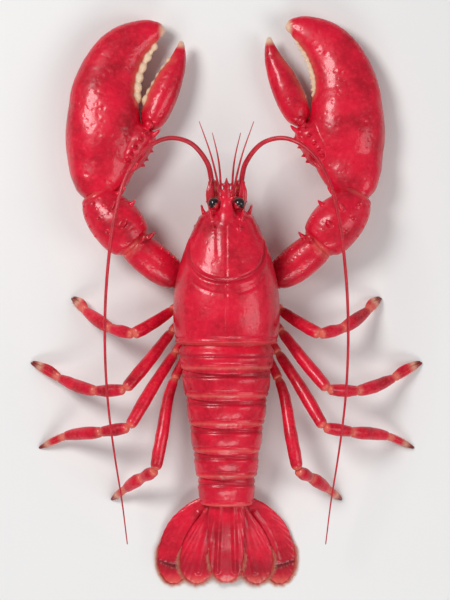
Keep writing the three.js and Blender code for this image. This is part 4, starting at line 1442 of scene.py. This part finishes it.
def flap_lines(order):
    middle_y = (ring_edges[order] + ring_edges[order + 1]) / 2
    wide, _, hem, middle = tail_at(middle_y)
    reach = 0.5 * (ring_edges[order] - ring_edges[order + 1])
    drop = min(12.5, 0.68 * hem)
    places = [
        (wide - 7, middle_y + 1, middle + 4),
        (wide - 3, middle_y, hem + 6),
        (wide - 4.5, middle_y - 4, hem - 0.3 * drop),
        (wide - 7.5, middle_y - reach + 1, hem - drop),
    ]
    return places, [(reach - 3, 3), (reach - 1.6, 2.6), (0.58 * reach, 2), (0.8, 0.8)]


def flap_skin(order):
    return sweep(*flap_lines(order), 40, 44, 2.6, head=0.15, tail=0.06, over=ACROSS)


def flip(skin):
    """The mirror image of a skin, with its faces turned back outwards."""
    points, faces = skin
    return points * (-1, 1, 1), [face[::-1] for face in faces]


print("the second ring's flap reaches down to", round(flap_lines(1)[0][-1][2], 1), "mm")

# %% Relief and paint of a ring
def ring_relief(points, normals, front, rear):
    x, y, z = points.T
    middle_y = (front + rear) / 2
    wide, _, hem, middle = tail_at(middle_y)
    over = ramp(z, middle - 12, middle + 4)
    below = downward(normals, 0.5, 0.8) * (np.abs(x) < wide - 10)
    lower = 1 - ramp(z, hem - 2, hem + 9)
    relief = -1.1 * dent(y - front + 0.26 * (front - rear), 1.6) * over
    relief -= 0.6 * dent(y - rear - 4.4, 1.1) * over
    relief += 0.35 * dent(y - rear - 1.5, 2.0) * over
    relief -= 1.1 * below * ramp(np.abs(y - middle_y), 3.5, 6)
    relief += 0.8 * dent(np.abs(x) - wide + 8, 3) * dent(y - rear - 6, 5) * lower
    return relief + (0.3 * swell(points, 15, 5) + 0.1 * swell(points, 4, 6) + pits(points, 4.4, 0.2)) * over


def paint_ring(ring, front, rear):
    points, normals = read(ring)
    x, y, z = points.T
    wide, _, hem, middle = tail_at((front + rear) / 2)
    under = downward(normals, 0.3, 0.7) * (np.abs(x) < wide - 6)
    flap_ends = 1 - ramp(z, hem - 12, hem + 2)
    rear_edge = dent(y - rear - 0.8, 1.5)
    # The dark in the furrow across the top of the ring is painted shade.
    furrow = dent(y - front + 0.26 * (front - rear), 2.2) * (z > middle)
    paint(ring, pale=0.95 * under + 0.5 * flap_ends + 0.4 * rear_edge, dark=0.35 * furrow)


print("a ring is", round(ring_edges[1] - ring_edges[2]), "mm long, with its furrow a quarter of the way back")

# %% Tail rings
for order in range(len(RING_SHARES)):
    skins = [ring_skin(order)]
    if order > 0:
        skins += [flap_skin(order), flip(flap_skin(order))]
    ring = press(f"abdomen_{order + 1}", skins, 0.95)
    edges = ring_edges[order] - LIP, ring_edges[order + 1] - LIP
    work(ring, lambda points, normals: ring_relief(points, normals, *edges))
    paint_ring(ring, *edges)
    settle(ring, shell_red, "shell", f"abdomen_{order + 1}")

# %% [markdown]
# ## Swimmerets
#
# Under the rings hang pairs of small paddles: a stem and two leaves with a fringe of bristles. They are
# soft and pale. The leaves are thin swept skins, and their fringes are grown later with all the others.

# %% Swimmerets
def swimmeret_lines(order):
    y = (ring_edges[order] + ring_edges[order + 1]) / 2 + 3
    wide, _, hem, _ = tail_at(y)
    x = 0.42 * wide
    stem = [(x, y, hem + 5), (x + 1, y - 3, hem - 1), (x + 2, y - 6, hem - 3.5)]
    leaves = [
        [
            (x + 2, y - 4, hem - 3),
            (x + 2 + 0.7 * aside, y - 4 - 0.5 * long, hem - 5),
            (x + 2 + aside, y - 4 - long, hem - 6),
        ]
        for aside, long in ((6.5, 19), (-4.5, 17))
    ]
    return stem, leaves


LEAF_SIZES = [(2.2, 1.2), (4.6, 1), (4.2, 0.8), (1.2, 0.6)]
for order in range(1, 5):
    stem, leaves = swimmeret_lines(order)
    skins = [sweep(stem, [(3.4, 2.4), (3.2, 2.2), (3, 1.8)], 28, 20, over=np.array([0, 1, 0.2]))]
    skins += [sweep(leaf, LEAF_SIZES, 36, 40, 2.6) for leaf in leaves]
    paddle = new_object(f"swimmeret_{order + 1}_right", skins)
    work(paddle, lambda points, normals: 0.15 * swell(points, 3, 2) + 0.12 * np.sin(2.4 * points[:, 1]))
    points, _ = read(paddle)
    paint(paddle, pale=0.5 + 0.3 * ramp(-points[:, 1] + stem[0][1], 6, 24))
    settle_pair(paddle, belly_coral, "belly")

# %% [markdown]
# ## Tail fan
#
# Five blades spread behind the last ring: the telson in the middle and two pairs of side blades that slide
# under it. Each is a flat, broad skin with raised ribs, fine grooves that fan out from its root, small
# spines at its outer corners, and on the outermost blades a hinge line across. All of that is relief,
# so the blades stay single swept skins.

# %% A blade of the fan
def fan_place(aside, back, height):
    """A place in shares of the fan's half width and length, at a height in millimetres."""
    return (aside * FAN_HALF_WIDTH, -TAIL_LENGTH - back * FAN_LENGTH, height)


def blade(name, places, sizes, ribs, root, power, head, tail, thorns=(), hinge=None):
    """Grooves fan out from the root. Only some blades have thorns or a hinge line."""
    skins = [sweep(places, sizes, 88, 120, power, head=head, tail=tail)]
    piece = new_object(name, skins + [thorn(*spine) for spine in thorns])

    def relief(points, normals):
        x, y, _ = points.T
        above = ramp(normals[:, 2], 0.1, 0.6)
        outer = ramp(np.hypot(x - root[0], y - root[1]), 22, 48)
        angle = np.arctan2(x - root[0], root[1] - y)
        result = 0.16 * np.sin(110 * angle) * outer + 0.3 * swell(points, 12, 3) * above
        result += pits(points, 3.6, 0.14)
        for rib in ribs:
            beside = near_from_above(points, spline(rib, np.linspace(0, 1, 12)))
            result += above * (1.5 * dent(beside, 1.9) - 0.5 * dent(beside - 4, 1.6))
        if hinge:
            result -= 0.7 * dent(near_from_above(points, hinge), 1.2)
        return result

    work(piece, relief)
    stand(piece)
    points, normals = read(piece)
    back = (-points[:, 1] - TAIL_LENGTH) / FAN_LENGTH
    dark = 0.35 * dent(back - 0.8, 0.09)
    # The dark along the hinge line is painted shade in its groove.
    if hinge:
        dark += 0.5 * dent(near(points, hinge), 2.0)
    paint(
        piece,
        pale=0.5 * ramp(back, 0.86, 1.0) + 0.5 * downward(normals, 0.3, 0.8),
        bone=0.5 * (1 - ramp(to_tips(points, thorns), 0.5, 1.6)),
        dark=dark,
    )
    return piece


print("the fan's rear edge lies at", round(fan_place(0, 1, 0)[1]), "mm")

# %% Telson
TELSON = [fan_place(0, back, height) for back, height in ((-0.1, 23), (0.25, 21), (0.62, 13.2), (0.985, 6.4))]
TELSON_SIZES = [(15, 5), (18.5, 4.6), (18, 3), (16.5, 1.9), (11, 1.1)]
TELSON_ROOT = (0, 40 - TAIL_LENGTH)
TELSON_RIBS = [
    [fan_place(aside, 0.06, 25), fan_place(1.15 * aside, 0.4, 20.4), fan_place(1.3 * aside, 0.84, 12)]
    for aside in (-0.1, 0.1)
]
telson_thorns = []
for side in (-1, 1):
    for back, height in ((0.5, 15.5), (0.84, 9)):
        root = (side * 15.5, fan_place(0, back, 0)[1], height)
        tip = (side * 18.4, fan_place(0, back + 0.08, 0)[1], height - 1)
        telson_thorns.append((root, tip, 1.6))
telson = blade("telson", TELSON, TELSON_SIZES, TELSON_RIBS, TELSON_ROOT, 2.6, 0.12, 0.14, telson_thorns)
settle(telson, shell_red, "shell", "telson")

# %% Inner side blades
INNER = [
    fan_place(0.13, -0.06, 16),
    fan_place(0.245, 0.25, 15.4),
    fan_place(0.39, 0.62, 7.8),
    fan_place(0.455, 1, 2.9),
]
INNER_SIZES = [(5, 3.4), (10, 2.6), (16.5, 1.9), (18, 1.5), (12, 0.9)]
INNER_RIB = [fan_place(0.19, 0.14, 18.2), fan_place(0.31, 0.42, 14), fan_place(0.41, 0.86, 7)]
INNER_ROOT = (4, 18 - TAIL_LENGTH)
inner = blade("inner_uropod_right", INNER, INNER_SIZES, [INNER_RIB], INNER_ROOT, 2.8, 0.08, 0.17)
settle_pair(inner, shell_red, "shell")

# %% Outer side blades, with a hinge line and a row of small spines on it
OUTER = [
    fan_place(0.245, -0.04, 12),
    fan_place(0.475, 0.2, 9.4),
    fan_place(0.69, 0.56, 3.4),
    fan_place(0.8, 1, 0.9 - SETTLE),
]
OUTER_SIZES = [(5, 3), (13, 2.4), (19.5, 1.9), (18.5, 1.4), (12, 0.8)]
OUTER_RIB = [fan_place(0.4, 0.14, 12.2), fan_place(0.62, 0.42, 7.6), fan_place(0.75, 0.72, 3.6)]
OUTER_ROOT = (10, 10 - TAIL_LENGTH)
HINGE_LINE = [fan_place(0.49, 0.74, 3), fan_place(0.74, 0.79, 2.6), fan_place(0.98, 0.72, 2.4)]
hinge_thorns = [
    (place + (0, 1.5, 0.6), place + (0, -2.4, 1.0), 0.95)
    for place in spline(HINGE_LINE, np.linspace(0.06, 0.94, 12))
]
outer = blade(
    "outer_uropod_right", OUTER, OUTER_SIZES, [OUTER_RIB], OUTER_ROOT, 2.8, 0.06, 0.17,
    hinge_thorns, HINGE_LINE,
)
settle_pair(outer, shell_red, "shell")

# %% [markdown]
# ## Bristles
#
# Fine bristles fringe the tail fan, the flaps and the swimmerets, stand in rows on the ends of the walking
# legs and make a brush on the jaw legs. Blender's hair would do, but it can't be cast with the rest, so
# each bristle is a thin solid cone. The places where they grow are worked out on the same swept lines as
# the shell. Geometry Nodes then set one cone on each root, turn it the way it lies and scale it to its
# length. A second map, OFBake, gives each bristle its own small patch, at the place of its root on the
# unrolled skin.

# %% A bent cone that carries its height and map
PATCH = 0.003  # side of a bristle's patch on the second map
BRISTLE_VALUES = {"Slimness": 0.028, "Curl": 0.22, "Patch": PATCH, "Material": bristle_horn}


def stored(tree, geometry, name, value, kind, domain):
    """Stores a value on the geometry under a name."""
    inputs = {"Geometry": geometry, "Name": name, "Value": value}
    node = add_node(tree, "GeometryNodeStoreNamedAttribute", inputs, data_type=kind, domain=domain)
    return node.outputs["Geometry"]


def bent_cone(tree, slimness, curl):
    """A slim cone of length 1, bent sideways, that keeps its height and its own map."""
    sizes = {"Vertices": 4, "Side Segments": 3, "Radius Top": 0.002, "Radius Bottom": slimness, "Depth": 1.0}
    cone = add_node(tree, "GeometryNodeMeshCone", sizes).outputs
    place = add_node(tree, "GeometryNodeInputPosition").outputs["Position"]
    height = add_node(tree, "ShaderNodeSeparateXYZ", {"Vector": place}).outputs["Z"]
    form = stored(tree, cone["Mesh"], "rise", height, "FLOAT", "POINT")
    form = stored(tree, form, "own", cone["UV Map"], "FLOAT_VECTOR", "CORNER")
    offset = combined(tree, X=times(tree, times(tree, height, height), curl))
    return add_node(tree, "GeometryNodeSetPosition", {"Geometry": form, "Offset": offset}).outputs["Geometry"]


print("a bristle's radius at its root is", BRISTLE_VALUES["Slimness"], "of its length")

# %% The tree for bristles
def bristle_tree():
    """Sets a bent cone on each root and maps it onto a patch at the root's place."""
    tree, inputs = new_tree("bristles on roots", {
        "Slimness": ("Float", 0.03),
        "Curl": ("Float", 0.2),
        "Patch": ("Float", PATCH),
        "Material": ("Material", None),
    })
    form = bent_cone(tree, inputs["Slimness"], inputs["Curl"])
    roots = add_node(tree, "GeometryNodeMeshToPoints", {"Mesh": inputs["Geometry"]}).outputs["Points"]
    turn = turned(tree, named(tree, "way", "FLOAT_VECTOR"))
    hairs = on_points(tree, roots, form, turn, named(tree, "long", "FLOAT"))
    solid = add_node(tree, "GeometryNodeRealizeInstances", {"Geometry": hairs}).outputs["Geometry"]
    own = {0: named(tree, "own", "FLOAT_VECTOR"), "Scale": inputs["Patch"]}
    inside = add_node(tree, "ShaderNodeVectorMath", own, operation="SCALE").outputs["Vector"]
    spot = {0: named(tree, "patch", "FLOAT_VECTOR"), 1: inside}
    spot = add_node(tree, "ShaderNodeVectorMath", spot, operation="ADD").outputs["Vector"]
    mapped = stored(tree, solid, "OFBake", spot, "FLOAT2", "CORNER")
    return finish_tree(tree, mapped, inputs["Material"])


bristled = bristle_tree()
print("bristle tree:", len(bristled.nodes), "nodes")

# %% Roots and brushes
STRIP_START, STRIP_RUN = 0.05, 0.9  # where a strip of patches starts on the second map, and its length
chance = np.random.default_rng(7)


def roots_on(path, out, length, spacing, spread, strip):
    """Roots along a path. Out is the way a bristle lies there, strip the place of its patches on the map."""
    path, out = np.asarray(path), np.asarray(out)
    run = np.concatenate([[0], np.cumsum(np.linalg.norm(np.diff(path, axis=0), axis=1))])
    at = np.arange(0, run[-1], spacing)
    at = at + chance.uniform(-0.4, 0.4, len(at)) * spacing
    pick = lambda values: np.stack([np.interp(at, run, column) for column in values.T], -1)
    ways = unit(pick(out) + chance.normal(0, spread, (len(at), 3)))
    from_end = np.minimum(at, run[-1] - at) / run[-1]
    long = length * chance.uniform(0.65, 1.1, len(at)) * (0.3 + 0.7 * ramp(from_end, 0, 0.12))
    patch = np.stack([strip + 0 * at, STRIP_START + STRIP_RUN * at / run[-1], 0 * at], -1)
    return pick(path), ways, long, patch


def brush(name, sets, slot="feeler"):
    """One piece from several sets of roots, and its mirror image. Bristles near the floor are lifted."""
    points, ways, long, patch = (np.concatenate(part) for part in zip(*sets))
    lowest = 0.1 + 0.25 * long
    ways[:, 2] += np.maximum(lowest - points[:, 2] - ways[:, 2] * long, 0) / long
    for side in ("right", "left"):
        attributes = {"way": ways, "long": long * MM, "patch": patch}
        hairs = grow(f"{name}_{side}", bristled, points, [], attributes, BRISTLE_VALUES)
        stand(hairs)
        settle(hairs, bristle_horn, slot)
        points, ways, patch = points * (-1, 1, 1), ways * (-1, 1, 1), patch + (0.5, 0, 0)


print("a strip of patches covers", STRIP_RUN, "of the map's height")

# %% Edges of flat skins
def rim(places, sizes, start, head=0.1, tail=0.1, power=2.0, over=UP):
    """The edge of a flat swept skin from the share start round its tip, and the ways out of it."""
    points, _ = sweep(places, sizes, 4, 80, power, head=head, tail=tail, over=over)
    rings = points[1:-1].reshape(-1, 4, 3)
    first = int(start * len(rings))
    edge = np.vstack([rings[first:, 0], points[-1:], rings[first:, 2][::-1]])
    middle = rings[first:].mean(axis=1)
    _, along, _, _ = line_frame(places, np.linspace(start, 1, len(middle)), over)
    sideways = [rings[first:, 0] - middle, along[-1:], (rings[first:, 2] - middle)[::-1]]
    ahead = np.vstack([along, along[-1:], along[::-1]])
    return edge, unit(unit(np.vstack(sideways)) + 0.9 * ahead)


print("the telson's edge has", len(rim(TELSON, TELSON_SIZES, 0.62)[0]), "places")

# %% Fringe of the tail fan
fan_blades = [
    (TELSON, TELSON_SIZES, 0.14, 2.6),
    (INNER, INNER_SIZES, 0.17, 2.8),
    (OUTER, OUTER_SIZES, 0.17, 2.8),
]
fan_sets = []
for i, (places, sizes, tail, power) in enumerate(fan_blades):
    edge, out = rim(places, sizes, 0.62, 0.1, tail, power)
    keep = edge[:, 0] >= 0
    for lift in (-0.35, 0.0, 0.35):
        roots = edge[keep] + (0, 0.4, lift)
        fan_sets.append(roots_on(roots, out[keep], 5.6, 0.36, 0.1, 0.02 + 0.05 * i + 0.01 * lift))
brush("fan_fringe", fan_sets)

# %% Fringes of the flaps and the swimmerets
flap_sets, paddle_sets = [], []
for order in range(1, 6):
    edge, out = rim(*flap_lines(order), 0.35, 0.15, 0.06, 2.6, ACROSS)
    flap_sets.append(roots_on(edge, out, 2.4, 0.8, 0.2, 0.02 + 0.05 * order))
for order in range(1, 5):
    for j, leaf in enumerate(swimmeret_lines(order)[1]):
        edge, out = rim(leaf, LEAF_SIZES, 0.3, power=2.6)
        paddle_sets.append(roots_on(edge, out, 3.6, 0.55, 0.12, 0.02 + 0.1 * order + 0.05 * j))
brush("flap_fringe", flap_sets)
brush("swimmeret_fringe", paddle_sets, "belly")

# %% Rows of bristles on the legs
LEG_TURNS = (10, 50, 90, 130, 170, 215, 270, 325)
JAW_TURNS = (165, 185, 205, 225)


def skin_rows(places, sizes, shares, turns, length, spacing, lean, strip):
    """Rows along a limb at given angles round it. Lean tips the bristles towards the limb's end."""
    share = np.linspace(*shares, 20)
    centre, along, right, top = line_frame(places, share)
    wide, up, down = sizes_at(sizes, share)
    for i, turn in enumerate(np.radians(turns)):
        height = up if np.sin(turn) > 0 else down
        side, rise = right * math.cos(turn) * wide[:, None], top * math.sin(turn) * height[:, None]
        out = unit(unit(side + rise) + lean * along)
        yield roots_on(centre + 0.96 * (side + rise), out, length, spacing, 0.16, strip + 0.01 * i)


leg_sets = []
for order, (_, lower) in enumerate(LEG_ROUTES):
    strip = 0.02 + 0.12 * order
    leg_sets += skin_rows(lower, LOWER_SIZES, (0.72, 0.95), LEG_TURNS, 2.6, 0.6, 0.8, strip)
    leg_sets += skin_rows(lower, LOWER_SIZES, (0.45, 0.66), (200, 320), 1.8, 1.4, 0.9, strip + 0.07)
brush("leg_bristles", leg_sets, "limb")

# %% Bristles of the mouth
jaw_sets = [*skin_rows(JAW_ROUTE, JAW_SIZES, (0.3, 0.97), JAW_TURNS, 5.0, 0.8, 0.3, 0.02)]
scale_edge, scale_out = rim(scale_places, scale_sizes, 0.3)
inner_edge = scale_edge[:, 0] < 16
jaw_sets.append(roots_on(scale_edge[inner_edge], scale_out[inner_edge], 2.6, 0.5, 0.1, 0.2))
brush("mouth_bristles", jaw_sets, "limb")

# %% [markdown]
# ## Floor, light and camera
#
# The model stands on a plain pale floor. Shell is glossy, so the lights are large and soft, and oval, so
# that no straight edge shows in the gloss: a bright one high on the left in front, a weaker one on the
# right, and a long one behind that draws a streak along each plate. The camera looks straight down
# through a long lens from five metres, which keeps the high back and the low claws at nearly the same
# scale, and frames the animal from claw tips to tail fan.

# %% Floor
FLOOR_HALF = 6.0  # metres
FLOOR_GREY, FLOOR_LIGHT = (0.80, 0.79, 0.77, 1), (0.84, 0.83, 0.81, 1)
floor_material, tree = new_material("pale_floor")
tone = blend_colour(tree, noise(tree, object_place(tree), 3, 3.0), FLOOR_GREY, FLOOR_LIGHT)
surface(tree, {"Base Color": tone, "Roughness": 0.8})
floor_mesh = bpy.data.meshes.new("floor")
corners = [(x * FLOOR_HALF, y * FLOOR_HALF, 0) for x, y in ((-1, -1), (1, -1), (1, 1), (-1, 1))]
floor_mesh.from_pydata(corners, [], [(0, 1, 2, 3)])
floor_mesh.materials.append(floor_material)
floor = bpy.data.objects.new("floor", floor_mesh)
bpy.context.scene.collection.objects.link(floor)
floor.location.z = cad_low[2]
print("floor at", round(floor.location.z, 4), "m")

# %% Lights and world
SKY_COLOUR, SKY_STRENGTH = (0.9, 0.93, 1.0, 1), 0.26


def soft_light(name, place, size, power, aim=(0, 0, 0.04)):
    light = bpy.data.lights.new(name, "AREA")
    light.shape, light.size, light.size_y = "ELLIPSE", *size
    light.energy = power
    lamp = bpy.data.objects.new(name, light)
    bpy.context.scene.collection.objects.link(lamp)
    lamp.location = place
    aim_at(lamp, aim)


def aim_at(thing, aim):
    reach = np.array(aim) - np.array(thing.location)
    flat = math.hypot(reach[0], reach[1])
    around = math.atan2(-reach[0], reach[1]) if flat > 1e-6 else 0
    thing.rotation_euler = (math.atan2(flat, -reach[2]), 0, around)


soft_light("key", (-0.9, 0.7, 1.5), (0.7, 0.7), 21)
soft_light("fill", (1.2, -0.2, 1.3), (0.8, 1.2), 8)
soft_light("back", (0.1, -1.4, 1.1), (1.4, 0.35), 9)
world = bpy.data.worlds.new("studio")
world.use_nodes = True
background = world.node_tree.nodes["Background"].inputs
background["Color"].default_value = SKY_COLOUR
background["Strength"].default_value = SKY_STRENGTH
bpy.context.scene.world = world
bpy.context.scene.view_settings.view_transform = "Standard"
print("three soft lights and a pale world")

# %% Camera
CAMERA_HEIGHT = 5.0
SENSOR = 36.0
PICTURE_MIDDLE = (-1.5, 47, 30)
VIEW_LENGTH = 0.6  # the picture's long side at the height of the back, in metres
eye_point = to_frame(PICTURE_MIDDLE)
camera = bpy.data.objects.new("camera", bpy.data.cameras.new("camera"))
bpy.context.scene.collection.objects.link(camera)
camera.location = (eye_point[0], eye_point[1], CAMERA_HEIGHT)
camera.data.sensor_width = SENSOR
camera.data.lens = SENSOR * (CAMERA_HEIGHT - eye_point[2]) / VIEW_LENGTH
bpy.context.scene.camera = camera
print("lens", round(camera.data.lens), "mm over", VIEW_LENGTH, "m")

# %% [markdown]
# ## Triangles in all
#
# The finished animal is meant to fill the same box as its frame. The last cell counts the triangles in all
# the pieces.

# %% Count the triangles in all the pieces
print("triangles in all:", sum(len(piece.data.loops) - 2 * len(piece.data.polygons) for piece in made))
